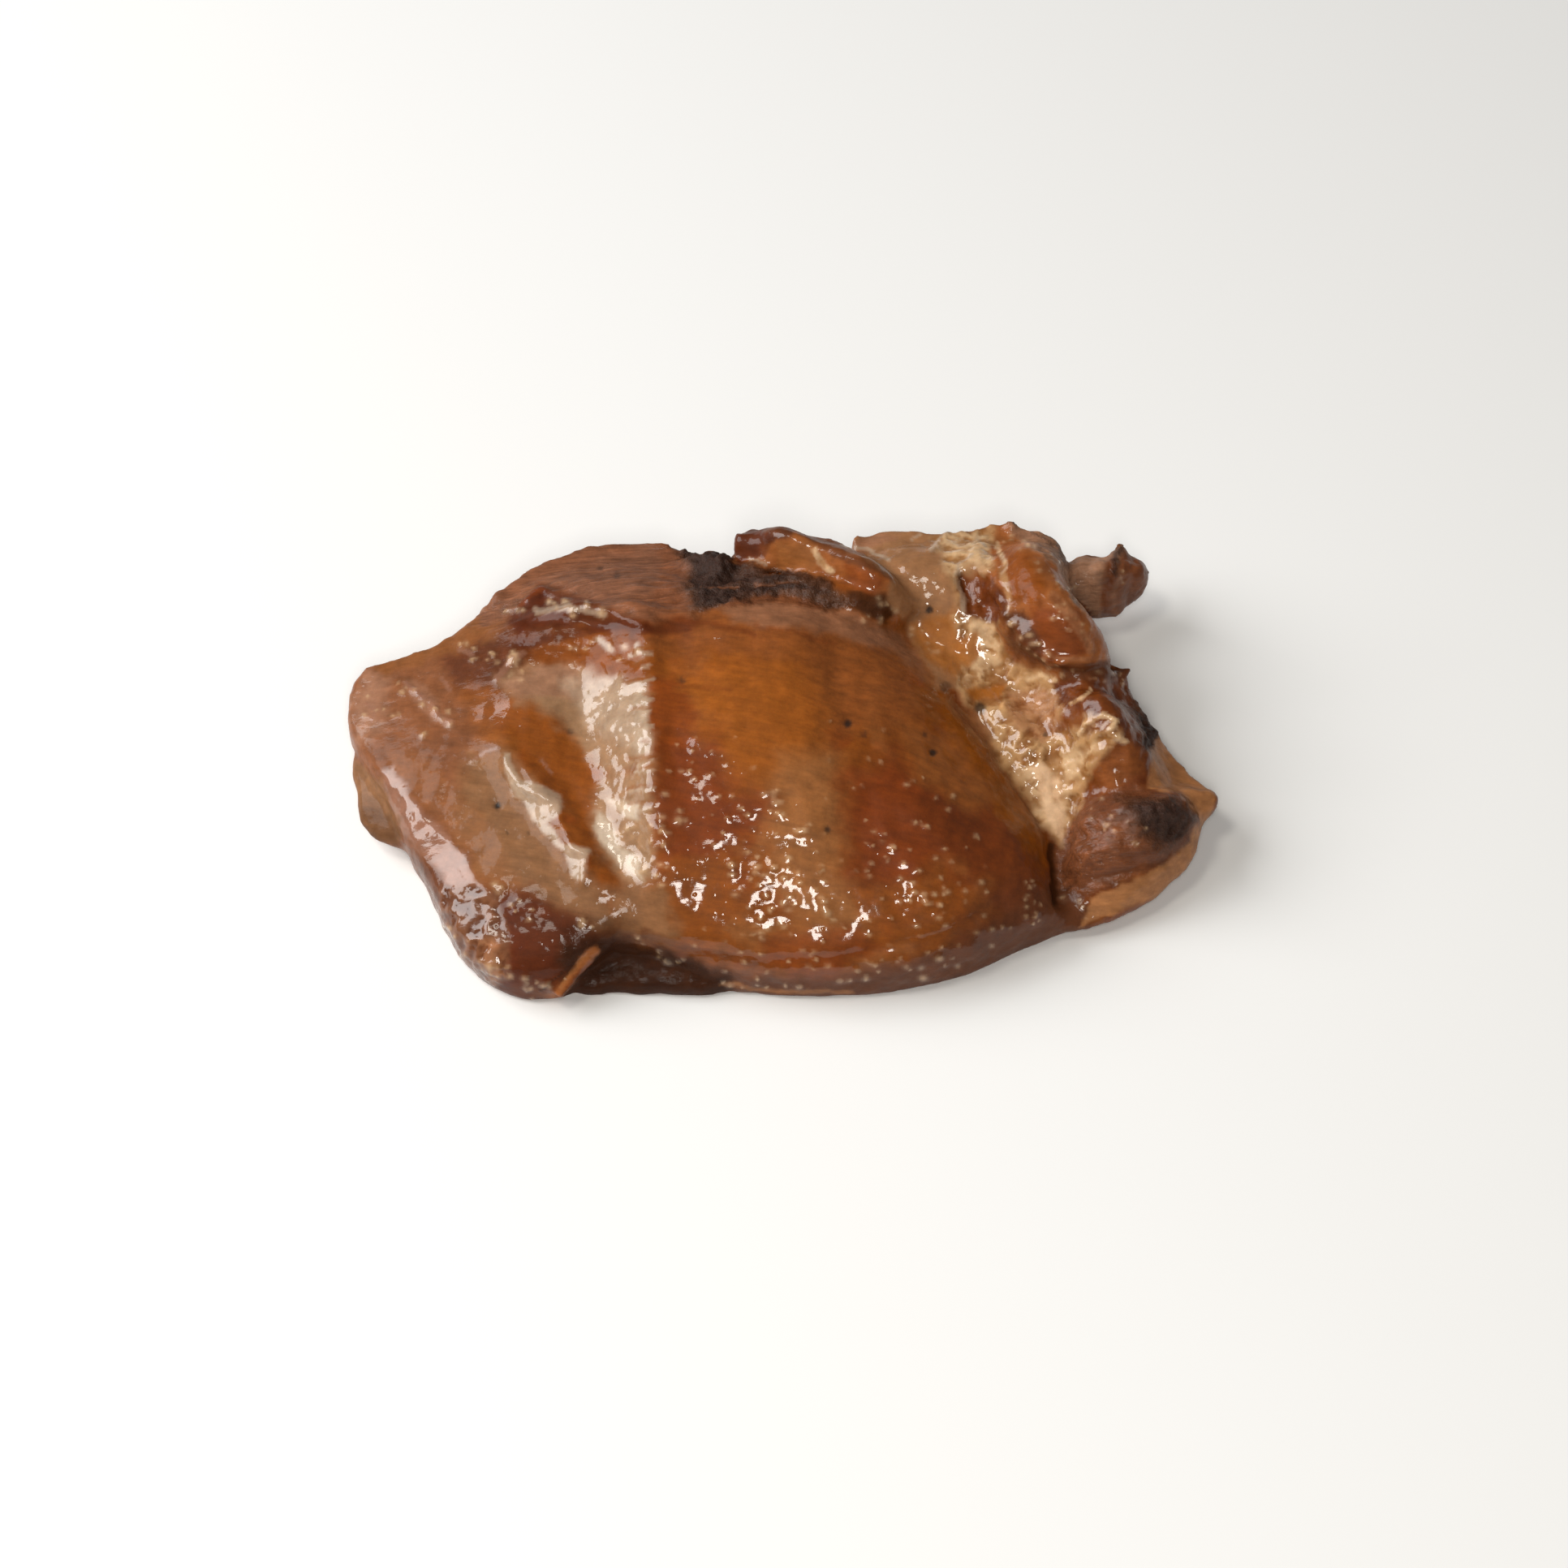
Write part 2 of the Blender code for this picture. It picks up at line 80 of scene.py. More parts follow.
# Each finish: colour as seen in daylight (sRGB, 0 to 255), roughness, how wet its glaze is, and the
# heights in millimetres of its wrinkles, crinkles, fibres and crumbs.
FINISHES = {
    "glaze_brown": ((134, 74, 34), 0.55, 0.8, 0.08, 0.00, 0.02, 0.00),
    "upper_brown": ((135, 78, 42), 0.60, 0.5, 0.06, 0.00, 0.05, 0.00),
    "grey_tan": ((148, 104, 78), 0.60, 0.4, 0.05, 0.00, 0.05, 0.00),
    "amber": ((150, 85, 38), 0.58, 0.6, 0.05, 0.00, 0.02, 0.00),
    "dull_amber": ((142, 78, 37), 0.60, 0.15, 0.14, 0.12, 0.05, 0.00),
    "hot_orange": ((129, 65, 15), 0.52, 0.8, 0.06, 0.00, 0.01, 0.00),
    "tan_glaze": ((153, 99, 58), 0.55, 0.8, 0.07, 0.00, 0.01, 0.00),
    "red_brown": ((120, 59, 4), 0.55, 0.8, 0.08, 0.00, 0.01, 0.00),
    "deep_brown": ((113, 58, 10), 0.55, 0.9, 0.10, 0.04, 0.01, 0.00),
    "olive_brown": ((141, 79, 29), 0.55, 0.4, 0.06, 0.00, 0.02, 0.00),
    "dark_edge": ((106, 64, 43), 0.60, 0.30, 0.14, 0.10, 0.02, 0.05),
    "shadow_meat": ((66, 42, 27), 0.65, 0.10, 0.10, 0.05, 0.05, 0.08),
    "purple_brown": ((94, 55, 38), 0.55, 0.7, 0.10, 0.06, 0.04, 0.02),
    "pale_fat": ((165, 127, 94), 0.42, 0.9, 0.08, 0.10, 0.02, 0.00),
    # Pale fat, painted paler still by a reflection of the window; also laid in thin lines as painted
    # glints.
    "white_fat_and_sheen": ((192, 165, 139), 0.36, 1.0, 0.08, 0.14, 0.02, 0.00),
    # A painted highlight: the window's reflection on pale fat, laid in as colour.
    "fat_painted_highlight": ((214, 192, 168), 0.36, 1.0, 0.08, 0.10, 0.02, 0.00),
    # Wet pink skin, laid paler than the skin around it as a painted sheen.
    "wet_pink_and_sheen": ((152, 106, 84), 0.40, 1.0, 0.10, 0.08, 0.02, 0.00),
    "wet_flakes": ((148, 96, 66), 0.42, 1.0, 0.10, 0.34, 0.02, 0.02),
    "golden_skin": ((146, 92, 54), 0.55, 0.15, 0.09, 0.08, 0.02, 0.00),
    "dark_skin": ((88, 45, 8), 0.58, 0.22, 0.10, 0.04, 0.02, 0.00),
    "matt_purple": ((86, 46, 32), 0.60, 0.15, 0.10, 0.06, 0.04, 0.02),
    "tan_fat": ((136, 96, 66), 0.55, 0.15, 0.05, 0.02, 0.01, 0.00),
    "pink_skin": ((133, 84, 56), 0.58, 0.15, 0.08, 0.04, 0.04, 0.00),
    "pale_pink": ((165, 119, 93), 0.55, 0.4, 0.10, 0.10, 0.03, 0.00),
    "fibre_meat": ((129, 87, 66), 0.65, 0.15, 0.06, 0.00, 0.19, 0.03),
    "tan_meat": ((132, 83, 57), 0.65, 0.12, 0.05, 0.00, 0.14, 0.01),
    "brown_meat": ((126, 76, 50), 0.60, 0.35, 0.24, 0.12, 0.16, 0.12),
    "grey_meat": ((154, 114, 89), 0.65, 0.15, 0.12, 0.00, 0.14, 0.06),
    "gold": ((180, 112, 52), 0.50, 0.9, 0.10, 0.12, 0.00, 0.00),
    "valley_tan": ((158, 112, 76), 0.55, 0.8, 0.09, 0.08, 0.02, 0.00),
    "pale_gold": ((228, 176, 121), 0.42, 1.0, 0.12, 0.40, 0.00, 0.00),
    # Cream fat; where it lies on the right lobe's crinkles, on beads and in thin lines it is partly a
    # painted highlight.
    "cream": ((252, 210, 162), 0.42, 1.0, 0.10, 0.28, 0.00, 0.00),
    "cream_band": ((250, 208, 166), 0.40, 0.9, 0.08, 0.12, 0.00, 0.00),
    "pink_fat": ((198, 136, 94), 0.50, 0.9, 0.12, 0.30, 0.02, 0.00),
    "cap_orange": ((162, 97, 54), 0.54, 0.5, 0.12, 0.10, 0.04, 0.00),
    "crust_brown": ((126, 68, 36), 0.55, 0.6, 0.14, 0.20, 0.03, 0.05),
    "under_tan": ((166, 113, 73), 0.60, 0.3, 0.04, 0.00, 0.05, 0.00),
    "char": ((64, 48, 42), 0.70, 0.20, 0.05, 0.00, 0.02, 0.46),
    "char_brown": ((86, 58, 44), 0.62, 0.30, 0.06, 0.05, 0.05, 0.34),
    "underside": ((150, 104, 78), 0.60, 0.25, 0.05, 0.00, 0.12, 0.00),
}
# Where these values lie in a layer, after the colour's three.
ROUGH, WET, WRINKLES, CRINKLES, FIBRES, CRUMBS = 3, 4, 5, 6, 7, 8

# Zones of one finish, from the widest to the smallest: finish, outline in pixels, width of its soft
# border in pixels, strength.
ZONES = [
    # left end
    ("pink_skin", [(425, 880), (450, 825), (540, 785), (620, 770), (650, 850), (600, 930), (570, 1010),
     (610, 1100), (530, 1120), (470, 1000), (425, 950)], 40, 1.0),
    ("pale_pink", [(425, 870), (455, 825), (480, 840), (470, 900), (440, 920)], 24, 0.8),
    ("pale_pink", [(500, 835), (520, 838), (550, 880), (560, 905), (535, 890), (505, 860)], 10, 0.5),
    ("matt_purple", [(540, 792), (600, 785), (680, 745), (720, 765), (650, 845), (620, 860),
     (560, 850)], 26, 0.75),
    ("golden_skin", [(455, 822), (540, 785), (620, 735), (640, 742), (600, 790), (540, 812),
     (470, 832)], 12, 0.7),
    ("tan_fat", [(580, 925), (620, 910), (655, 960), (690, 1040), (745, 1110), (770, 1150), (730, 1150),
     (650, 1100), (590, 1080), (560, 1010)], 30, 1.0),
    ("olive_brown", [(560, 845), (640, 850), (720, 905), (735, 960), (715, 1000), (660, 930),
     (600, 925)], 30, 0.55),
    ("glaze_brown", [(590, 870), (640, 860), (700, 900), (700, 930), (640, 920)], 20, 0.8),
    ("golden_skin", [(470, 925), (520, 930), (590, 1000), (640, 1090), (600, 1110), (560, 1030),
     (500, 970)], 20, 0.45),
    ("purple_brown", [(500, 1040), (560, 1090), (600, 1150), (640, 1235), (600, 1240), (540, 1160),
     (510, 1090)], 16, 0.8),
    ("dark_skin", [(598, 1100), (650, 1096), (700, 1120), (750, 1150), (740, 1185), (690, 1215),
     (645, 1238), (608, 1222), (598, 1170), (604, 1130)], 36, 0.9),
    # The glossy band along the lower left edge: wet skin, made paler by a painted reflection.
    ("wet_pink_and_sheen", [(468, 950), (486, 946), (510, 988), (552, 1030), (584, 1075), (604, 1110),
     (600, 1128), (560, 1092), (520, 1052), (488, 1010)], 9, 0.95),
    ("wet_flakes", [(540, 1090), (580, 1085), (612, 1105), (630, 1150), (626, 1205), (600, 1212),
     (566, 1170), (545, 1130)], 12, 0.9),
    ("pink_fat", [(588, 1160), (612, 1156), (624, 1200), (604, 1208)], 10, 0.5),
    ("tan_fat", [(425, 930), (470, 960), (500, 1030), (490, 1045), (440, 1030), (425, 990)], 10, 1.0),
    ("shadow_meat", [(425, 985), (470, 995), (505, 1030), (490, 1048), (435, 1035)], 24, 0.45),
    # pale fat left of the ridge, with painted reflections of the window on it
    ("dull_amber", [(660, 790), (720, 775), (800, 780), (806, 850), (740, 850), (690, 880),
     (640, 850)], 24, 0.9),
    ("pale_fat", [(612, 838), (660, 820), (720, 822), (770, 836), (800, 855), (804, 930), (760, 960),
     (728, 935), (700, 905), (680, 880), (640, 862)], 24, 0.95),
    ("pale_pink", [(616, 842), (668, 820), (716, 822), (716, 862), (668, 858), (640, 862)], 14, 0.75),
    # Painted reflection of the window on the pale fat.
    ("white_fat_and_sheen", [(690, 840), (760, 836), (802, 850), (803, 925), (770, 918), (720, 885)], 24, 0.65),
    ("pale_fat", [(730, 960), (800, 950), (806, 1080), (780, 1100), (745, 1060), (724, 1000)], 20, 0.9),
    # Painted reflections of the window on the pale fat.
    ("fat_painted_highlight", [(752, 985), (790, 990), (794, 1010), (765, 1010)], 10, 0.9),
    ("fat_painted_highlight", [(734, 1000), (752, 1015), (770, 1045), (798, 1060), (790, 1085), (755, 1060),
     (735, 1025)], 10, 0.9),
    ("glaze_brown", [(645, 915), (700, 925), (735, 950), (735, 1000), (715, 1010), (690, 975),
     (660, 945)], 20, 0.9),
    # The torn edge: pale fat with a painted reflection along it.
    ("white_fat_and_sheen", [(620, 930), (628, 930), (640, 962), (668, 966), (692, 980), (692, 1000), (674, 1012),
     (690, 1038), (728, 1048), (718, 1085), (706, 1080), (694, 1050), (668, 1026), (652, 998),
     (632, 980)], 6, 0.8),
    ("tan_fat", [(745, 1095), (820, 1090), (850, 1130), (820, 1165), (770, 1150)], 20, 0.9),
    # the broad top
    ("upper_brown", [(800, 745), (900, 742), (1000, 740), (1100, 770), (1140, 830), (1120, 900),
     (1020, 900), (980, 820), (880, 800), (800, 805)], 36, 0.9),
    ("grey_tan", [(885, 748), (960, 738), (1040, 752), (1090, 775), (1130, 800), (1140, 835),
     (1090, 800), (1000, 775), (900, 765)], 14, 0.7),
    ("amber", [(830, 835), (900, 800), (990, 812), (1020, 870), (1010, 930), (970, 965), (930, 975),
     (890, 930), (840, 900), (815, 870)], 54, 1.0),
    ("hot_orange", [(802, 835), (830, 835), (860, 880), (850, 930), (815, 925), (802, 900)], 18, 0.9),
    ("tan_glaze", [(960, 930), (1030, 925), (1040, 1000), (1030, 1080), (1080, 1140), (1010, 1160),
     (960, 1100), (940, 1010)], 46, 0.95),
    ("tan_glaze", [(880, 1140), (960, 1130), (1040, 1150), (1020, 1180), (930, 1175)], 22, 0.6),
    ("red_brown", [(806, 925), (880, 905), (900, 975), (960, 985), (940, 1015), (890, 1050),
     (860, 1080), (820, 1060), (800, 990)], 36, 0.9),
    ("glaze_brown", [(820, 1060), (900, 1050), (910, 1120), (880, 1160), (825, 1140)], 22, 0.9),
    ("red_brown", [(1045, 960), (1100, 930), (1180, 985), (1250, 1030), (1220, 1075), (1150, 1060),
     (1110, 1100), (1055, 1085), (1038, 1020)], 48, 0.95),
    ("deep_brown", [(1130, 995), (1190, 990), (1250, 1015), (1300, 1040), (1310, 1130), (1260, 1150),
     (1220, 1090), (1170, 1050)], 44, 0.8),
    ("olive_brown", [(1150, 840), (1190, 880), (1250, 970), (1300, 1050), (1290, 1075), (1230, 1000),
     (1180, 930)], 16, 0.8),
    ("glaze_brown", [(1110, 890), (1170, 900), (1230, 985), (1200, 1000), (1130, 960)], 24, 0.8),
    ("tan_glaze", [(1110, 890), (1170, 900), (1230, 985), (1200, 1000), (1130, 960)], 30, 0.3),
    ("glaze_brown", [(1050, 1100), (1180, 1080), (1230, 1120), (1180, 1160), (1080, 1170)], 26, 0.7),
    ("dark_edge", [(840, 1182), (900, 1200), (980, 1206), (1060, 1200), (1130, 1182), (1185, 1160),
     (1235, 1126), (1290, 1095), (1330, 1095), (1345, 1150), (1200, 1215), (1040, 1250),
     (880, 1245)], 18, 0.95),
    ("purple_brown", [(1180, 1130), (1240, 1085), (1300, 1090), (1290, 1135), (1220, 1160),
     (1160, 1175)], 22, 0.5),
    ("hot_orange", [(930, 1150), (1060, 1145), (1090, 1175), (1000, 1200), (940, 1188)], 24, 0.8),
    ("shadow_meat", [(690, 1165), (760, 1150), (850, 1176), (905, 1203), (890, 1240),
     (690, 1240)], 24, 1.0),
    ("shadow_meat", [(690, 1140), (760, 1130), (800, 1160), (740, 1175), (700, 1185)], 26, 0.45),
    # bare meat at the back left
    ("fibre_meat", [(590, 775), (600, 710), (690, 665), (780, 650), (850, 665), (855, 745), (790, 765),
     (720, 742), (668, 722), (640, 760)], 12, 1.0),
    ("tan_meat", [(770, 735), (850, 735), (855, 760), (800, 768), (760, 752)], 14, 0.7),
    ("tan_meat", [(600, 745), (640, 700), (700, 675), (780, 662), (780, 680), (700, 700),
     (640, 735)], 16, 0.5),
    ("dark_skin", [(625, 765), (652, 730), (668, 726), (680, 742), (655, 765), (640, 790)], 8, 0.9),
    ("dark_skin", [(668, 722), (720, 740), (790, 765), (860, 760), (850, 790), (780, 785), (700, 770),
     (650, 775)], 16, 0.75),
    ("brown_meat", [(800, 655), (850, 660), (850, 740), (830, 752), (800, 740), (815, 700)], 20, 0.6),
    # char
    ("char_brown", [(822, 660), (880, 652), (925, 690), (975, 692), (1035, 710), (1058, 742),
     (1020, 748), (960, 736), (905, 746), (855, 755), (838, 725), (846, 700)], 22, 1.0),
    ("char", [(836, 662), (885, 660), (915, 690), (900, 720), (905, 740), (872, 748), (856, 738),
     (850, 700)], 15, 0.95),
    ("char", [(895, 706), (950, 704), (975, 722), (940, 740), (900, 742)], 20, 0.6),
    ("char", [(960, 700), (1010, 706), (1035, 722), (1000, 724)], 12, 0.5),
    # finger of meat behind the char
    ("cap_orange", [(900, 690), (935, 640), (1000, 650), (1070, 685), (1110, 715), (1100, 765),
     (1045, 748), (1020, 712), (960, 700)], 8, 1.0),
    ("tan_glaze", [(955, 668), (1000, 672), (1020, 700), (960, 700)], 12, 0.6),
    ("purple_brown", [(893, 655), (935, 632), (985, 645), (980, 662), (940, 668), (935, 690),
     (908, 692)], 9, 0.9),
    ("purple_brown", [(985, 648), (1050, 668), (1104, 706), (1098, 716), (1040, 690),
     (985, 664)], 6, 0.7),
    ("hot_orange", [(1040, 690), (1090, 712), (1080, 735), (1035, 725)], 10, 0.8),
    ("dark_skin", [(903, 662), (935, 645), (952, 660), (942, 690), (908, 694)], 10, 0.75),
    ("glaze_brown", [(1005, 698), (1045, 708), (1056, 740), (1034, 726), (1010, 710)], 12, 0.7),
    ("shadow_meat", [(1045, 728), (1090, 730), (1112, 745), (1090, 768), (1040, 748)], 10, 0.9),
    # valley and right lobe
    ("valley_tan", [(1040, 665), (1110, 645), (1200, 635), (1200, 720), (1190, 850), (1150, 845),
     (1125, 790), (1095, 740), (1100, 712)], 14, 1.0),
    ("grey_tan", [(1035, 672), (1080, 655), (1110, 660), (1060, 685)], 8, 0.9),
    ("gold", [(1120, 770), (1180, 745), (1205, 800), (1190, 840), (1150, 820)], 16, 0.8),
    ("pale_gold", [(1150, 660), (1235, 640), (1245, 700), (1215, 705), (1195, 690), (1180, 740),
     (1170, 700)], 16, 0.95),
    ("cream", [(1150, 662), (1205, 650), (1232, 680), (1215, 705), (1188, 696), (1176, 715)], 16, 0.7),
    ("cap_orange", [(1225, 640), (1290, 680), (1335, 745), (1400, 818), (1330, 835), (1285, 832),
     (1245, 805), (1225, 760), (1222, 700)], 10, 1.0),
    ("grey_meat", [(1235, 625), (1290, 640), (1330, 672), (1315, 715), (1290, 690),
     (1245, 660)], 8, 0.95),
    ("dull_amber", [(1224, 672), (1262, 678), (1288, 720), (1284, 752), (1250, 742),
     (1232, 715)], 14, 1.0),
    ("crust_brown", [(1184, 700), (1198, 712), (1225, 715), (1240, 745), (1232, 772), (1192, 758),
     (1180, 728)], 7, 1.0),
    ("red_brown", [(1270, 750), (1335, 755), (1350, 800), (1300, 825), (1262, 800)], 14, 0.8),
    ("purple_brown", [(1230, 755), (1262, 752), (1280, 790), (1290, 825), (1250, 808)], 9, 0.9),
    ("pale_gold", [(1172, 755), (1230, 770), (1245, 812), (1290, 834), (1320, 850), (1300, 900),
     (1380, 905), (1345, 950), (1330, 990), (1312, 1050), (1285, 1010), (1235, 940), (1215, 890),
     (1180, 845), (1190, 800)], 12, 1.0),
    ("cream", [(1255, 950), (1290, 940), (1320, 920), (1345, 925), (1315, 985), (1312, 1045),
     (1290, 1015)], 14, 0.85),
    ("cream_band", [(1268, 945), (1290, 940), (1302, 965), (1312, 1000), (1316, 1045), (1300, 1030),
     (1284, 990)], 8, 0.9),
    ("cream", [(1175, 755), (1228, 770), (1235, 825), (1180, 845), (1200, 800)], 12, 0.85),
    ("gold", [(1170, 795), (1200, 780), (1212, 800), (1190, 825)], 9, 0.9),
    ("gold", [(1190, 848), (1240, 842), (1235, 860), (1200, 862)], 8, 1.0),
    ("pink_fat", [(1240, 850), (1300, 850), (1310, 900), (1280, 920), (1245, 890)], 14, 0.7),
    ("valley_tan", [(1166, 852), (1190, 870), (1222, 895), (1232, 930), (1205, 915),
     (1178, 880)], 10, 0.5),
    ("crust_brown", [(1295, 838), (1395, 815), (1445, 890), (1450, 950), (1400, 985), (1350, 985),
     (1385, 905), (1345, 880), (1305, 870)], 12, 1.0),
    ("cap_orange", [(1355, 935), (1395, 920), (1410, 950), (1380, 975), (1350, 975)], 24, 0.6),
    ("deep_brown", [(1380, 850), (1430, 880), (1440, 930), (1405, 900)], 12, 0.7),
    ("dark_edge", [(1300, 822), (1390, 808), (1400, 835), (1310, 838)], 6, 0.9),
    ("char_brown", [(1388, 850), (1425, 860), (1450, 930), (1412, 930), (1400, 890)], 14, 0.9),
    ("char", [(1404, 878), (1440, 885), (1445, 930), (1412, 925)], 9, 0.9),
    ("brown_meat", [(1325, 1000), (1400, 965), (1460, 980), (1480, 1020), (1440, 1065), (1350, 1100),
     (1302, 1105), (1304, 1050)], 10, 1.0),
    ("purple_brown", [(1340, 985), (1400, 970), (1410, 990), (1380, 1005), (1345, 1005)], 10, 0.45),
    ("char_brown", [(1372, 978), (1450, 978), (1478, 1005), (1466, 1046), (1420, 1052),
     (1396, 1022)], 18, 0.8),
    ("char", [(1392, 990), (1446, 984), (1470, 1005), (1460, 1034), (1430, 1036),
     (1408, 1012)], 15, 0.9),
    ("under_tan", [(1425, 905), (1500, 975), (1485, 1060), (1465, 1040), (1478, 1010), (1455, 978),
     (1415, 968)], 5, 1.0),
    ("under_tan", [(1330, 1142), (1345, 1108), (1410, 1080), (1470, 1035), (1490, 1050),
     (1420, 1110)], 5, 1.0),
    ("dark_edge", [(1285, 1095), (1335, 1100), (1340, 1122), (1290, 1150)], 8, 0.9),
    # knob
    ("grey_meat", [(1300, 680), (1340, 655), (1420, 660), (1425, 740), (1370, 775),
     (1320, 745)], 6, 1.0),
    ("crust_brown", [(1383, 680), (1425, 690), (1425, 745), (1372, 765), (1376, 720)], 10, 0.8),
]

# Streaks of one finish along a line: finish, line in pixels, width in pixels, strength.
STREAKS = [
    ("dark_skin", [(640, 795), (690, 785), (750, 770), (800, 775)], 12, 0.6),
    # The cream and white lines below are painted highlights and painted reflections on the glaze.
    ("cream", [(1004, 680), (1010, 692), (1024, 704)], 8, 0.8),
    ("white_fat_and_sheen", [(925, 690), (945, 695)], 4, 0.6),
    ("white_fat_and_sheen", [(660, 752), (700, 750), (745, 758)], 6, 0.6),
    ("white_fat_and_sheen", [(738, 788), (752, 800)], 8, 0.7),
    ("white_fat_and_sheen", [(784, 796), (790, 806)], 7, 0.7),
    ("white_fat_and_sheen", [(791, 850), (793, 925)], 18, 0.9),
    ("pale_fat", [(792, 940), (797, 1075)], 14, 0.8),
    ("upper_brown", [(800, 790), (850, 785), (920, 800), (1000, 812)], 14, 0.5),
    ("deep_brown", [(835, 765), (880, 768), (930, 782)], 7, 0.6),
    ("deep_brown", [(800, 835), (840, 845), (900, 850)], 6, 0.35),
    ("deep_brown", [(930, 770), (980, 778), (1030, 795)], 5, 0.4),
    ("red_brown", [(640, 745), (655, 735), (668, 728)], 7, 0.8),
    ("tan_meat", [(862, 722), (890, 723), (912, 721)], 3, 0.6),
    ("tan_meat", [(930, 720), (960, 718), (985, 714)], 3, 0.6),
    ("char", [(850, 715), (900, 716), (950, 712), (985, 707)], 4, 0.8),
    ("char", [(872, 730), (915, 727), (960, 723), (1000, 721), (1022, 727)], 7, 0.9),
    ("char_brown", [(975, 708), (1012, 718), (1040, 738)], 14, 0.8),
    ("brown_meat", [(900, 744), (960, 737), (1010, 745)], 9, 0.6),
    ("char", [(855, 672), (875, 690), (868, 725)], 16, 0.7),
    ("char_brown", [(1376, 664), (1374, 690), (1366, 716)], 16, 0.6),
    ("crust_brown", [(1370, 700), (1364, 730), (1364, 760)], 16, 0.8),
    ("char", [(1380, 676), (1374, 690), (1372, 706)], 7, 0.8),
    # A dark line in the groove of the fold: painted shade.
    ("dark_edge", [(1240, 768), (1252, 800), (1290, 826), (1340, 830), (1388, 814)], 5, 0.8),
    ("shadow_meat", [(1296, 1040), (1300, 1075), (1304, 1110)], 9, 0.9),
    # A dark line in the groove along the lower lobe's edge: painted shade.
    ("dark_edge", [(1325, 1090), (1380, 1076), (1430, 1062), (1462, 1035)], 11, 0.6),
    ("char", [(1240, 640), (1260, 650), (1300, 672), (1315, 700)], 4, 0.5),
    ("purple_brown", [(795, 1150), (860, 1172), (930, 1188)], 10, 0.5),
    ("under_tan", [(890, 1212), (960, 1220), (1050, 1222)], 5, 0.6),
    # The loose strand: the pale line down its middle is a painted highlight, and the dark line along its
    # side painted shade.
    ("cap_orange", [(732, 1172), (704, 1204), (678, 1236)], 11, 1.0),
    ("red_brown", [(726, 1186), (698, 1216)], 4, 0.6),
    ("tan_glaze", [(722, 1180), (702, 1200), (690, 1216)], 4, 0.6),
    ("shadow_meat", [(716, 1178), (690, 1198), (664, 1222)], 3, 0.7),
    # A white line on the finger's back edge: a painted glint.
    ("white_fat_and_sheen", [(1040, 672), (1070, 678), (1095, 690)], 4, 0.8),
    ("shadow_meat", [(1180, 700), (1186, 712), (1190, 725)], 5, 0.8),
    # White strokes on the right lobe's back: painted glints.
    ("white_fat_and_sheen", [(1148, 678), (1156, 664), (1168, 656)], 5, 0.8),
    ("white_fat_and_sheen", [(1176, 706), (1186, 692), (1198, 686)], 5, 0.7),
    ("white_fat_and_sheen", [(1180, 716), (1188, 736), (1186, 750)], 7, 0.8),
    ("white_fat_and_sheen", [(1204, 664), (1214, 676)], 5, 0.6),
    # The pale lines on the cap below are painted highlights.
    ("cream", [(1228, 668), (1234, 686), (1238, 700)], 6, 0.7),
    ("pale_gold", [(1234, 700), (1240, 720), (1242, 738)], 8, 0.6),
    ("pink_fat", [(1298, 735), (1326, 765), (1345, 800)], 12, 0.6),
    ("pink_fat", [(1300, 812), (1345, 812), (1385, 802)], 5, 0.5),
    # A painted glint.
    ("white_fat_and_sheen", [(1124, 664), (1134, 656)], 4, 0.6),
    # Cream lines on the right lobe's fat: partly its pale fat, partly painted highlights.
    ("cream", [(1332, 905), (1342, 888), (1360, 880), (1374, 890), (1366, 903), (1386, 915)], 6, 0.9),
    ("cream", [(1340, 930), (1352, 915), (1372, 912)], 5, 0.7),
    ("cream", [(1318, 868), (1334, 862), (1344, 850)], 4, 0.7),
    ("cream", [(1268, 838), (1284, 834), (1300, 836)], 6, 0.8),
    ("deep_brown", [(1192, 720), (1196, 750)], 4, 0.7),
    ("deep_brown", [(1204, 722), (1208, 756)], 4, 0.6),
    ("deep_brown", [(1218, 728), (1220, 758)], 4, 0.6),
    # Pale pink strokes on the left end: painted glints on wet skin.
    ("wet_pink_and_sheen", [(500, 842), (512, 852), (524, 862)], 5, 0.9),
    ("wet_pink_and_sheen", [(530, 864), (542, 884), (556, 892)], 5, 0.8),
    ("wet_pink_and_sheen", [(544, 836), (554, 850)], 5, 0.7),
    ("wet_pink_and_sheen", [(452, 866), (462, 876), (458, 890)], 5, 0.6),
    ("wet_pink_and_sheen", [(580, 938), (596, 926), (612, 922)], 4, 0.6),
    ("wet_pink_and_sheen", [(668, 934), (680, 950)], 4, 0.7),
    ("wet_pink_and_sheen", [(566, 800), (582, 806)], 6, 0.7),
    ("wet_pink_and_sheen", [(612, 838), (632, 816), (644, 806)], 8, 0.7),
]

# How a zone's border and a streak's sides are drawn.
LEAST_RAGGED, MOST_RAGGED = 3, 9  # how many pixels noise shifts a border to and fro
RAGGED_SHARE = 0.3  # how much further it does for each pixel of the border's width
BROAD_SHARE, CLOSE_SHARE = 0.9, 0.5  # what the broad and the close noise add to that shift
STREAK_CORE, STREAK_EDGE = 0.2, 0.75  # where a streak starts to fade and ends, as shares of its width

# Small dark pores and burnt specks: pixel, radius in pixels, strength.
SPECKS = [
    ((612, 992), 5, 1.0),
    ((1045, 890), 6, 0.9),
    ((1150, 928), 5, 0.9),
    ((1145, 752), 6, 0.9),
    ((1020, 1022), 5, 0.7),
    ((840, 838), 5, 0.6),
    ((625, 1027), 3, 0.5),
    ((1208, 872), 8, 0.8),
    ((1165, 845), 8, 0.6),
    ((1288, 905), 4, 0.7),
    ((702, 902), 4, 0.5),
    ((652, 1028), 3, 0.4),
    ((1065, 905), 4, 0.5),
    ((760, 708), 6, 0.5),
    ((1140, 905), 4, 0.5),
    ((740, 700), 4, 0.5),
]

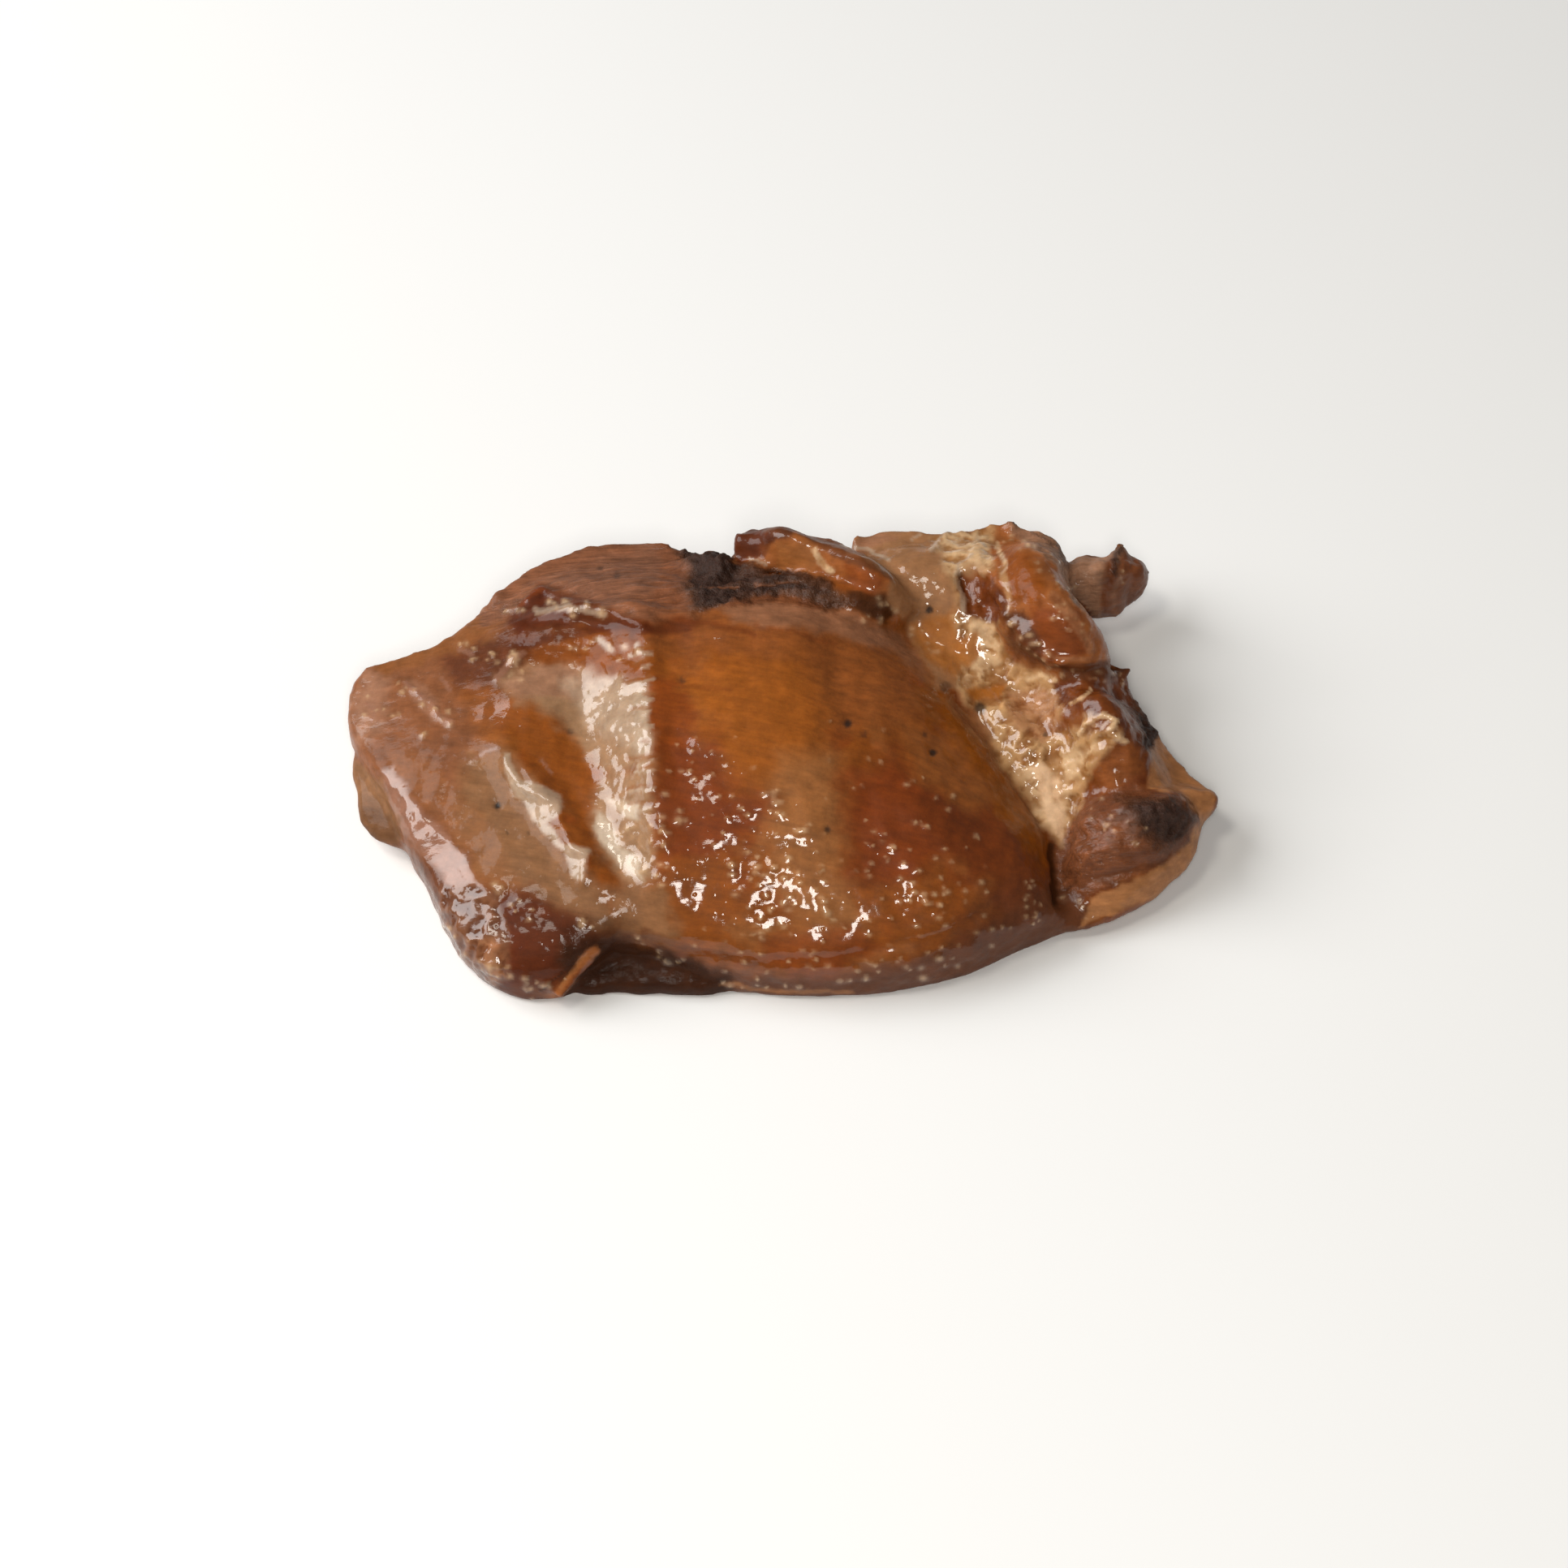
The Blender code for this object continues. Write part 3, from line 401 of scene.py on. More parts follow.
# Forms that stand up from the skin, or are let into it: line in pixels, width in pixels, height.
FORMS = [
    ([(798, 790), (800, 850), (802, 930), (800, 1010), (806, 1090)], 16, 0.5),
    ([(740, 830), (735, 900), (745, 960)], 26, -0.3),
    ([(622, 935), (640, 970), (688, 990), (690, 1012), (705, 1045), (725, 1055), (718, 1088)], 6, 0.55),
    ([(640, 922), (700, 965), (712, 1000), (730, 1030)], 10, -0.35),
    ([(650, 740), (668, 728), (700, 742), (745, 752), (790, 770)], 6, 0.6),
    ([(650, 765), (700, 762), (745, 772)], 8, -0.5),
    ([(1240, 768), (1252, 800), (1290, 826), (1340, 830), (1388, 814)], 7, -0.9),
    ([(1228, 745), (1240, 785), (1268, 815)], 8, 0.5),
    ([(1186, 712), (1200, 740), (1225, 752)], 10, -1.3),
    ([(1190, 700), (1225, 708), (1240, 730)], 6, 0.5),
    ([(1182, 862), (1222, 912), (1252, 962), (1284, 1010), (1302, 1060), (1306, 1110)], 8, -0.8),
    ([(1325, 1090), (1380, 1076), (1430, 1062), (1462, 1035)], 9, -0.5),
    ([(1345, 1050), (1390, 1040), (1440, 1046)], 14, 0.7),
    ([(1330, 1030), (1380, 1016), (1400, 1000)], 9, -0.5),
    ([(1390, 1000), (1430, 996), (1462, 1008)], 10, 0.5),
    ([(1340, 905), (1375, 900), (1345, 950)], 12, 0.5),
    ([(1320, 985), (1312, 1045)], 8, -0.5),
    ([(850, 722), (900, 722), (950, 719), (985, 714)], 4, -0.6),
    ([(850, 1168), (930, 1184), (1040, 1180), (1150, 1156), (1235, 1116)], 9, -0.4),
    ([(1376, 655), (1376, 670)], 9, -1.0),
    ([(1376, 680), (1370, 710)], 7, 0.4),
    ([(1345, 680), (1340, 720), (1345, 745)], 7, -0.4),
    ([(1398, 690), (1396, 720), (1388, 740)], 5, -0.4),
    ([(500, 842), (524, 862)], 4, 0.35),
    ([(530, 864), (542, 884), (556, 892)], 4, 0.35),
    ([(612, 838), (632, 816), (644, 806)], 6, 0.4),
    ([(468, 940), (500, 985), (560, 1045), (600, 1100)], 10, 0.4),
    ([(1192, 716), (1196, 750)], 3, -0.5),
    ([(1206, 722), (1210, 756)], 3, -0.5),
    ([(1148, 678), (1168, 656)], 3, 0.35),
    ([(1176, 706), (1198, 686)], 3, 0.35),
    ([(1332, 905), (1342, 888), (1360, 880), (1374, 890), (1366, 903), (1386, 915)], 4, 0.45),
]

# Beads and flecks of glaze: line in pixels that they lie along, spread in pixels, count, radius.
BEAD_RUNS = [
    ([(600, 760), (640, 745)], 10, 5, 0.5),
    ([(670, 752), (745, 752)], 9, 12, 0.6),
    ([(560, 800), (640, 815)], 10, 12, 0.5),
    ([(700, 790), (790, 810)], 14, 9, 0.6),
    ([(620, 800), (640, 830)], 14, 10, 0.5),
    ([(770, 990), (790, 1080)], 12, 10, 0.7),
    ([(810, 980), (815, 1090)], 12, 14, 0.6),
    ([(830, 1000), (845, 1015)], 5, 3, 0.7),
    ([(915, 1060), (975, 1140)], 40, 40, 0.5),
    ([(940, 970), (960, 1000), (1000, 1030)], 10, 8, 0.5),
    ([(1100, 1060), (1190, 1130)], 34, 30, 0.45),
    ([(1040, 900), (1060, 1000), (1040, 1130)], 50, 18, 0.32),
    ([(840, 1000), (1010, 1050), (1230, 1090)], 45, 40, 0.35),
    ([(860, 1150), (1010, 1170), (1200, 1130)], 22, 24, 0.35),
    ([(1010, 1100), (1025, 1140)], 5, 6, 0.55),
    ([(820, 910), (900, 960)], 40, 16, 0.32),
    ([(1262, 1080), (1278, 1135)], 10, 10, 0.4),
    ([(600, 1180), (680, 1225)], 14, 12, 0.4),
    ([(1128, 1014), (1144, 1018)], 2, 4, 0.45),
    ([(1200, 1028), (1208, 1034)], 2, 2, 0.45),
    ([(1020, 1198), (1180, 1190)], 12, 14, 0.45),
    ([(900, 1190), (1050, 1200), (1180, 1170), (1300, 1112)], 14, 26, 0.35),
    ([(880, 1212), (1000, 1218)], 5, 8, 0.4),
    ([(780, 1160), (850, 1190)], 10, 8, 0.45),
    ([(545, 1140), (620, 1200)], 16, 14, 0.5),
    ([(600, 1100), (660, 1130)], 12, 9, 0.5),
    ([(710, 1135), (730, 1140)], 4, 5, 0.5),
    ([(640, 1225), (700, 1205)], 6, 6, 0.45),
    ([(1085, 740), (1100, 755)], 6, 5, 0.5),
    ([(1060, 760), (1090, 765)], 5, 5, 0.45),
    ([(1110, 775), (1150, 800)], 12, 9, 0.5),
    ([(1235, 750), (1290, 820)], 10, 18, 0.5),
    ([(1310, 1110), (1345, 1125)], 8, 6, 0.35),
    ([(1300, 740), (1330, 790)], 12, 10, 0.4),
    ([(1240, 660), (1290, 700), (1335, 770)], 14, 24, 0.35),
    ([(1300, 830), (1400, 840)], 9, 16, 0.35),
    ([(1330, 880), (1380, 910)], 10, 10, 0.6),
    ([(1250, 900), (1300, 1000)], 20, 16, 0.6),
    ([(950, 970), (960, 990)], 6, 4, 0.5),
    ([(1130, 960), (1170, 990)], 16, 8, 0.4),
    ([(440, 870), (540, 900)], 16, 9, 0.45),
    ([(1380, 700), (1385, 720)], 4, 3, 0.5),
    ([(1340, 1000), (1400, 1040)], 20, 12, 0.35),
    ([(480, 840), (560, 890)], 8, 10, 0.5),
]
BEAD_HEIGHT = 0.17
BEAD_SEED = 11
BEAD_PAINTED_HIGHLIGHT = 2.3  # how far each millimetre of a bead's height paints a pale highlight on its top
MM_PER_PX = 0.15

# Teeth of pale fat and painted reflection that reach over the ridge: the line in pixels where they end, how
# many there are, their length and width in pixels, and how deep the gaps between them are.
COMB = [(800, 792), (803, 860), (801, 930), (804, 1000)]
TEETH = 11
TOOTH_SEED = 23
TOOTH_LENGTH, TOOTH_WIDTH = 20, 5.0
TOOTH_SLOPE = 3  # how many pixels lower a tooth's root lies than its end
TOOTH_TILT, TOOTH_STAGGER = 9, 8  # over how many pixels draws shift its root and its end
TOOTH_DEPTH = 0.3
TOOTH_STRENGTH = 0.6  # how fully a tooth or a gap takes its finish

# Ripples that run across the pale fat into the ridge: the line in pixels that they lie along.
RIPPLED = [(776, 790), (774, 860), (778, 930)]
RIPPLED_WIDTH = 36
RIPPLE_SHARE = np.array((0.03, 0.11))  # ripples for each pixel, across the frame and down it
RIPPLE_HEIGHT = 0.12

# How the relief's noise is made: the sizes of its features, and how its octaves follow each other.
WRINKLE_SIZE, CRINKLE_SIZE, FIBRE_SIZE, CRUMB_SIZE = 4.2, 3.2, 1.1, 1.5
BROAD_SIZE, CLOSE_SIZE = 5.0, 1.7  # of the noise that mottles colours and frays borders
OCTAVE_FINENESS = 2.0  # how many times finer each octave is than the one before
OCTAVE_WEAKENING = 0.9  # each octave is weaker by that number to this power

RELIEF_GAIN = 1.6  # how many times higher the relief is than the heights that the finishes state
CRINKLE_WARP = 0.9  # how far noise bends the crinkles to and fro
CRINKLE_MEAN = 0.4  # the height in the crinkles, from 0 to 1, that leaves the meat at its own size
FORM_RAGGED, TOOTH_RAGGED, SPECK_RAGGED = 2.5, 3.5, 2.0  # how many pixels noise shifts each of these
BROAD_MOTTLE, CLOSE_MOTTLE, FIBRE_MOTTLE = 0.10, 0.12, 0.28  # the shares by which colours are mottled
SPECK_DEPTH = 0.25
SPECK_COLOUR = np.array((0.02, 0.012, 0.008))  # in linear light
CRINKLE_SHADE = np.array((0.46, 0.62, 0.78))  # the share of red, green and blue that painted shade takes from a hollow of the crinkles
RESTING_FADE = (0.2, 1.6)  # the relief grows from none at the first height to full at the second
FIBRE_TURN = math.radians(6)
STREAK_TURN = math.radians(-14)
MOST_DETAIL = np.array((0.36, 0.17, 0.42))  # the crinkles, fibres and crumbs that count as full
FIBRE_STRETCH = 0.14  # the share of a fibre's length that its width is
DRY_BACK = 0.85  # the share of its glaze that the back edge has lost to the fire


def camera_place():
    back = Vector((0, -math.cos(ELEVATION), math.sin(ELEVATION)))
    return AIM + back * DISTANCE


def camera_axes():
    right = Vector((1, 0, 0))
    ahead = (AIM - camera_place()).normalized()
    return right, right.cross(ahead), ahead


def pixels_of(points):
    """Where the camera sees each point, as pixels of the photograph."""
    right, up, ahead = (np.array(axis) for axis in camera_axes())
    away = points - np.array(camera_place())
    depth = away @ ahead
    half = FRAME_PX / 2
    return np.stack((half + LENS_PX * (away @ right) / depth, half - LENS_PX * (away @ up) / depth), 1)


def make_camera():
    data = bpy.data.cameras.new("camera")
    data.sensor_width = SENSOR
    data.lens = LENS_PX * SENSOR / FRAME_PX
    data.clip_start, data.clip_end = 0.01, 20.0  # in metres
    camera = bpy.data.objects.new("camera", data)
    bpy.context.scene.collection.objects.link(camera)
    camera.location = camera_place() * MM
    camera.rotation_euler = (AIM - camera_place()).to_track_quat("-Z", "Y").to_euler()
    bpy.context.scene.camera = camera


def applied(obj, name):
    """The object's mesh with its modifiers applied."""
    graph = bpy.context.evaluated_depsgraph_get()
    mesh = bpy.data.meshes.new_from_object(obj.evaluated_get(graph))
    bpy.data.objects.remove(obj)
    mesh.name = name
    return mesh


def fine_copy(node):
    """A finer mesh over the CAD node, as a new object, with its lower side meshed more coarsely."""
    rough = bpy.data.objects.new("rough", node.data.copy())
    bpy.context.scene.collection.objects.link(rough)
    melt = rough.modifiers.new("melt", "REMESH")
    melt.mode = "VOXEL"
    melt.voxel_size = VOXEL * MM
    soften = rough.modifiers.new("soften", "SMOOTH")
    soften.iterations = SMOOTHING
    even = bpy.data.objects.new("even", applied(rough, "even"))
    bpy.context.scene.collection.objects.link(even)
    low = read(even.data, "vertices")[:, 2] < UNDERSIDE_TO * MM
    low |= read(even.data, "vertex_normals")[:, 2] < FACING_DOWN
    even.vertex_groups.new(name="underside").add(np.nonzero(low)[0].tolist(), 1.0, "REPLACE")
    thin = even.modifiers.new("thin", "DECIMATE")
    thin.ratio = MOST_TRIANGLES / (2 * len(even.data.polygons))
    thin.vertex_group = "underside"
    mesh = applied(even, "chicken")
    piece = bpy.data.objects.new("chicken", mesh)
    bpy.context.scene.collection.objects.link(piece)
    return piece


def read(mesh, name):
    values = np.empty(len(mesh.vertices) * 3, np.float32)
    getattr(mesh, name).foreach_get("vector" if name == "vertex_normals" else "co", values)
    return values.reshape(-1, 3).astype(float)


def noise_field(points, size, seed=0.0, octaves=2):
    """Soft noise, about -1 to 1, whose features are about as large as size."""
    places = (points / size + seed).tolist()
    return np.array([noise.fractal(Vector(p), OCTAVE_WEAKENING, OCTAVE_FINENESS, octaves) for p in places])


def srgb(colour):
    """A daylight colour from 0 to 255 as linear light."""
    c = np.array(colour) / 255
    return np.where(c <= 0.04045, c / 12.92, ((c + 0.055) / 1.055) ** 2.4)


def finish(name):
    colour, *rest = FINISHES[name]
    return np.array([*np.maximum(srgb(colour) / EXPOSURE - HAZE, 0.002), *rest])


def ramp(values, low, high):
    """0 below low, 1 above high, and smooth between."""
    t = np.clip((values - low) / (high - low), 0, 1)
    return t * t * (3 - 2 * t)


def from_line(places, line):
    """The distance of each place from a chain of straight runs."""
    nearest = np.full(len(places), np.inf)
    for start, end in zip(line, line[1:]):
        a, run = np.array(start, float), np.subtract(end, start).astype(float)
        t = np.clip(((places - a) @ run) / (run @ run), 0, 1)
        nearest = np.minimum(nearest, np.linalg.norm(places - a - t[:, None] * run, axis=1))
    return nearest


def inside(places, outline):
    """Whether each place lies in a closed outline."""
    within = np.zeros(len(places), bool)
    x, y = places.T
    for (ax, ay), (bx, by) in zip(outline, outline[1:] + outline[:1]):
        if ay != by:
            crossed = (ay > y) != (by > y)
            within ^= crossed & (x < ax + (y - ay) * (bx - ax) / (by - ay))
    return within


class Meat:
    """The meat's points, with the finish laid on each."""

    def __init__(self, piece):
        self.points = read(piece.data, "vertices") / MM
        self.normals = read(piece.data, "vertex_normals")
        self.tree = BVHTree.FromObject(piece, bpy.context.evaluated_depsgraph_get())
        self.pixels = pixels_of(self.points)
        self.seen = self.sight()
        self.broad = np.stack([noise_field(self.points, BROAD_SIZE, seed) for seed in (3.1, 17.3)], 1)
        self.close = np.stack([noise_field(self.points, CLOSE_SIZE, seed) for seed in (5.7, 29.9)], 1)
        self.layers = np.tile(finish("glaze_brown"), (len(self.points), 1))

    def sight(self):
        """How well the camera sees each point, from 0 to 1."""
        towards = np.array(camera_place()) - self.points
        towards /= np.linalg.norm(towards, axis=1)[:, None]
        facing = ramp((self.normals * towards).sum(1), -0.25, 0.1)
        # A sight line starts a little off the meat, so that it doesn't meet the triangle that it leaves.
        starts = (self.points + self.normals * 0.3 + towards * 0.8) * MM
        clear = np.array([
            f <= 0 or self.tree.ray_cast(Vector(s), Vector(t))[0] is None
            for f, s, t in zip(facing, starts.tolist(), towards.tolist())
        ])
        return facing * clear

    def ragged(self, amount):
        """The points' pixels, shifted to and fro so that borders drawn over them turn ragged."""
        return self.pixels + amount * (BROAD_SHARE * self.broad + CLOSE_SHARE * self.close)

    def lay(self, name, weight):
        self.layers += (finish(name) - self.layers) * weight[:, None]

    def zone(self, name, outline, border, strength):
        places = self.ragged(min(MOST_RAGGED, LEAST_RAGGED + border * RAGGED_SHARE))
        away = from_line(places, outline + outline[:1])
        signed = np.where(inside(places, outline), away, -away)
        self.lay(name, strength * self.seen * ramp(signed, -border / 2, border / 2))

    def streak(self, name, line, width, strength):
        away = from_line(self.ragged(LEAST_RAGGED), line)
        self.lay(name, strength * self.seen * (1 - ramp(away, width * STREAK_CORE, width * STREAK_EDGE)))

    def hidden_sides(self):
        """The finish of what the photograph doesn't show: browned skin, bare meat at the back, and the
        paler meat underneath."""
        x, y, z = self.points.T
        patchy, blotchy = self.broad.T
        upward = self.normals[:, 2]
        back = ramp(y + 4 * patchy, 18, 26)
        left = 1 - ramp(x, -14, -8)
        right = ramp(x + 4 * patchy, 30, 44)
        low = 1 - ramp(z + 1.2 * patchy, 0.8, 3.2)
        upright = ramp(1 - abs(upward), 0.1, 0.5)
        self.lay("red_brown", 0.6 * ramp(patchy, 0.0, 0.5))
        self.lay("fibre_meat", back * left)
        self.lay("crust_brown", right * 0.8)
        self.lay("golden_skin", ramp(blotchy, 0.1, 0.6) * 0.5)
        self.lay("underside", ramp(-upward + 0.1 * patchy, 0.3, 0.7))
        self.lay("brown_meat", ramp(-upward, 0.3, 0.7) * ramp(blotchy, 0.0, 0.6) * 0.8)
        self.lay("dark_edge", low * upright)


def place_along(line, share):
    """The place on a line of straight runs, of which each counts as 1 of the share."""
    leg = min(int(share), len(line) - 2)
    return Vector(line[leg]).lerp(Vector(line[leg + 1]), share - leg)


def bell(away, width):
    """1 at no distance, and falling away smoothly to about a third at the width."""
    return np.exp(-((away / width) ** 2))


def drawn(low, high):
    """A seeded draw between two values."""
    return low + (high - low) * noise.random()


def bumps():
    """Drops and blisters of glaze, scattered by a seeded draw: pixel, reach each way in pixels, height."""
    noise.seed_set(BEAD_SEED)
    for line, spread, count, radius in BEAD_RUNS:
        for number in range(count):
            pixel = place_along(line, (number + noise.random()) / count * (len(line) - 1))
            pixel += Vector((drawn(-0.5, 0.5), drawn(-0.5, 0.5))) * 2 * spread
            reach = radius / MM_PER_PX * drawn(0.9, 1.8)
            yield pixel, (reach * drawn(0.8, 1.6), reach), BEAD_HEIGHT * drawn(0.5, 1.5)


def teeth():
    """The gaps and teeth of the comb, by a seeded draw: whether it is a tooth, and its line in pixels."""
    noise.seed_set(TOOTH_SEED)
    for number in range(2 * TEETH):
        end = place_along(COMB, (number + 0.9 * noise.random()) / (2 * TEETH) * (len(COMB) - 1))
        length = TOOTH_LENGTH * drawn(0.3, 1.5)
        root = (end.x - length, end.y + TOOTH_SLOPE + TOOTH_TILT * drawn(-0.5, 0.5))
        yield number % 2, [root, (end.x + TOOTH_STAGGER * drawn(-0.5, 0.5), end.y)]


def creases(points, size, seed):
    """Noise that stands up in winding folds, from 0 to 1."""
    return np.clip(1 - 2.0 * abs(noise_field(points, size, seed, octaves=1)), 0, 1)


def relief(meat):
    """How far each point stands out, and how high it lies in the crinkles and in the fibres."""
    points = meat.points
    wrinkles = noise_field(points, WRINKLE_SIZE, seed=11.0)
    warped = points + CRINKLE_WARP * np.column_stack((meat.close, meat.close[:, 0]))
    coarse, small = creases(warped, CRINKLE_SIZE, 23.0), creases(warped, CRINKLE_SIZE / 2, 37.0)
    crinkles = 0.65 * coarse + 0.35 * small
    along = points[:, 0] * math.cos(FIBRE_TURN) + points[:, 1] * math.sin(FIBRE_TURN)
    across = points[:, 1] * math.cos(FIBRE_TURN) - points[:, 0] * math.sin(FIBRE_TURN)
    grain = np.column_stack((along * FIBRE_STRETCH, across, points[:, 2]))
    fibres = noise_field(grain, FIBRE_SIZE, seed=31.0)
    crumbs = noise_field(points, CRUMB_SIZE, seed=43.0)
    parts = np.column_stack((wrinkles, crinkles - CRINKLE_MEAN, fibres, crumbs))
    raised = RELIEF_GAIN * (meat.layers[:, WRINKLES:] * parts).sum(1)
    for line, width, height in FORMS:
        away = from_line(meat.ragged(FORM_RAGGED), line)
        raised += height * meat.seen * bell(away, width)
    for tooth, line in teeth():
        away = from_line(meat.ragged(TOOTH_RAGGED), line)
        raised += (tooth - 0.5) * TOOTH_DEPTH * meat.seen * bell(away, TOOTH_WIDTH)
    for pixel, reach, height in bumps():
        drop = meat.seen * bell(np.linalg.norm((meat.pixels - pixel) / reach, axis=1), 1)
        raised += height * drop
        # Each bead's top is painted pale: a painted highlight.
        meat.lay("cream", BEAD_PAINTED_HIGHLIGHT * height * drop**4)
        meat.layers[:, WET] = np.maximum(meat.layers[:, WET], drop)
    ripples = noise_field(np.column_stack((meat.pixels * RIPPLE_SHARE, points[:, 2])), 1.0, seed=53.0)
    beside_ridge = bell(from_line(meat.pixels, RIPPLED), RIPPLED_WIDTH)
    raised += RIPPLE_HEIGHT * meat.seen * beside_ridge * ripples
    for pixel, radius, strength in SPECKS:
        away = np.linalg.norm(meat.pixels - pixel, axis=1)
        raised -= SPECK_DEPTH * strength * meat.seen * bell(away, radius)
    return raised * ramp(points[:, 2], *RESTING_FADE), crinkles, fibres


def tones(meat, crinkles, fibres):
    """The colour of each point: its finish, with painted shade in the crinkles' hollows, and mottled."""
    depth = ramp(meat.layers[:, CRINKLES], 0.05, 0.3)
    hollow_shade = (1 - ramp(crinkles, 0.1, 0.75)) * depth
    colour = meat.layers[:, :3] * (1 - hollow_shade[:, None] * CRINKLE_SHADE)
    fibrous = ramp(meat.layers[:, FIBRES], 0.0, 0.1)
    mottle = 1 + BROAD_MOTTLE * meat.broad[:, 0] + CLOSE_MOTTLE * meat.close[:, 1]
    mottle += FIBRE_MOTTLE * fibrous * fibres
    colour = colour * mottle[:, None]
    for pixel, radius, strength in SPECKS:
        away = np.linalg.norm(meat.ragged(SPECK_RAGGED) - pixel, axis=1)
        spot = strength * meat.seen * (1 - ramp(away, radius * 0.5, radius * 1.2))
        colour += (SPECK_COLOUR - colour) * spot[:, None]
    return np.clip(colour, 0.002, 1)


def store(mesh, name, values):
    attribute = mesh.color_attributes.new(name, "FLOAT_COLOR", "POINT")
    rgba = np.ones((len(values), 4), np.float32)
    rgba[:, : values.shape[1]] = values
    attribute.data.foreach_set("color", rgba.ravel())


class Nodes:
    """A material's nodes, made and joined in one line each."""

    def __init__(self, name):
        self.material = bpy.data.materials.new(name)
        self.material.use_nodes = True
        self.tree = self.material.node_tree
        self.surface = self.tree.nodes["Principled BSDF"]

    def add(self, kind, settings=None, **inputs):
        node = self.tree.nodes.new(kind)
        for key, value in (settings or {}).items():
            setattr(node, key, value)
        for key, value in inputs.items():
            self.put(node.inputs[key.replace("_", " ")], value)
        return node

    def put(self, socket, value):
        if isinstance(value, bpy.types.NodeSocket):
            self.tree.links.new(value, socket)
        else:
            socket.default_value = value

    def maths(self, operation, a, b):
        node = self.tree.nodes.new("ShaderNodeMath")
        node.operation = operation
        self.put(node.inputs[0], a)
        self.put(node.inputs[1], b)
        return node.outputs[0]

    def total(self, start, *terms, by=None):
        """The start plus each term times its share, or 1 where by is 0 and that where by is 1."""
        for value, share in terms:
            start = self.maths("ADD", self.maths("MULTIPLY", value, share), start)
        if by is None:
            return start
        return self.maths("ADD", self.maths("MULTIPLY", self.maths("SUBTRACT", start, 1.0), by), 1.0)

    def split(self, colour):
        return self.add("ShaderNodeSeparateColor", Color=colour)

    def stretched(self, place, turn, times):
        """The place turned about the upright and stretched, so that noise over it runs in strands."""
        node = self.add("ShaderNodeMapping", {"vector_type": "TEXTURE"}, Vector=place)
        self.put(node.inputs["Rotation"], (0, 0, turn))
        self.put(node.inputs["Scale"], (times, 1, 1))
        return node.outputs["Vector"]

    def noise(self, place, scale, detail):
        node = self.add("ShaderNodeTexNoise", Vector=place, Scale=scale, Detail=detail, Roughness=0.6)
        return node.outputs["Fac"]

    def spread(self, value, low, high):
        """0 at low and 1 at high, smooth between."""
        node = self.tree.nodes.new("ShaderNodeMapRange")
        node.interpolation_type = "SMOOTHSTEP"
        self.put(node.inputs["Value"], value)
        self.put(node.inputs["From Min"], min(low, high))
        self.put(node.inputs["From Max"], max(low, high))
        self.put(node.inputs["To Min"], 0.0 if low < high else 1.0)
        self.put(node.inputs["To Max"], 1.0 if low < high else 0.0)
        return node.outputs["Result"]


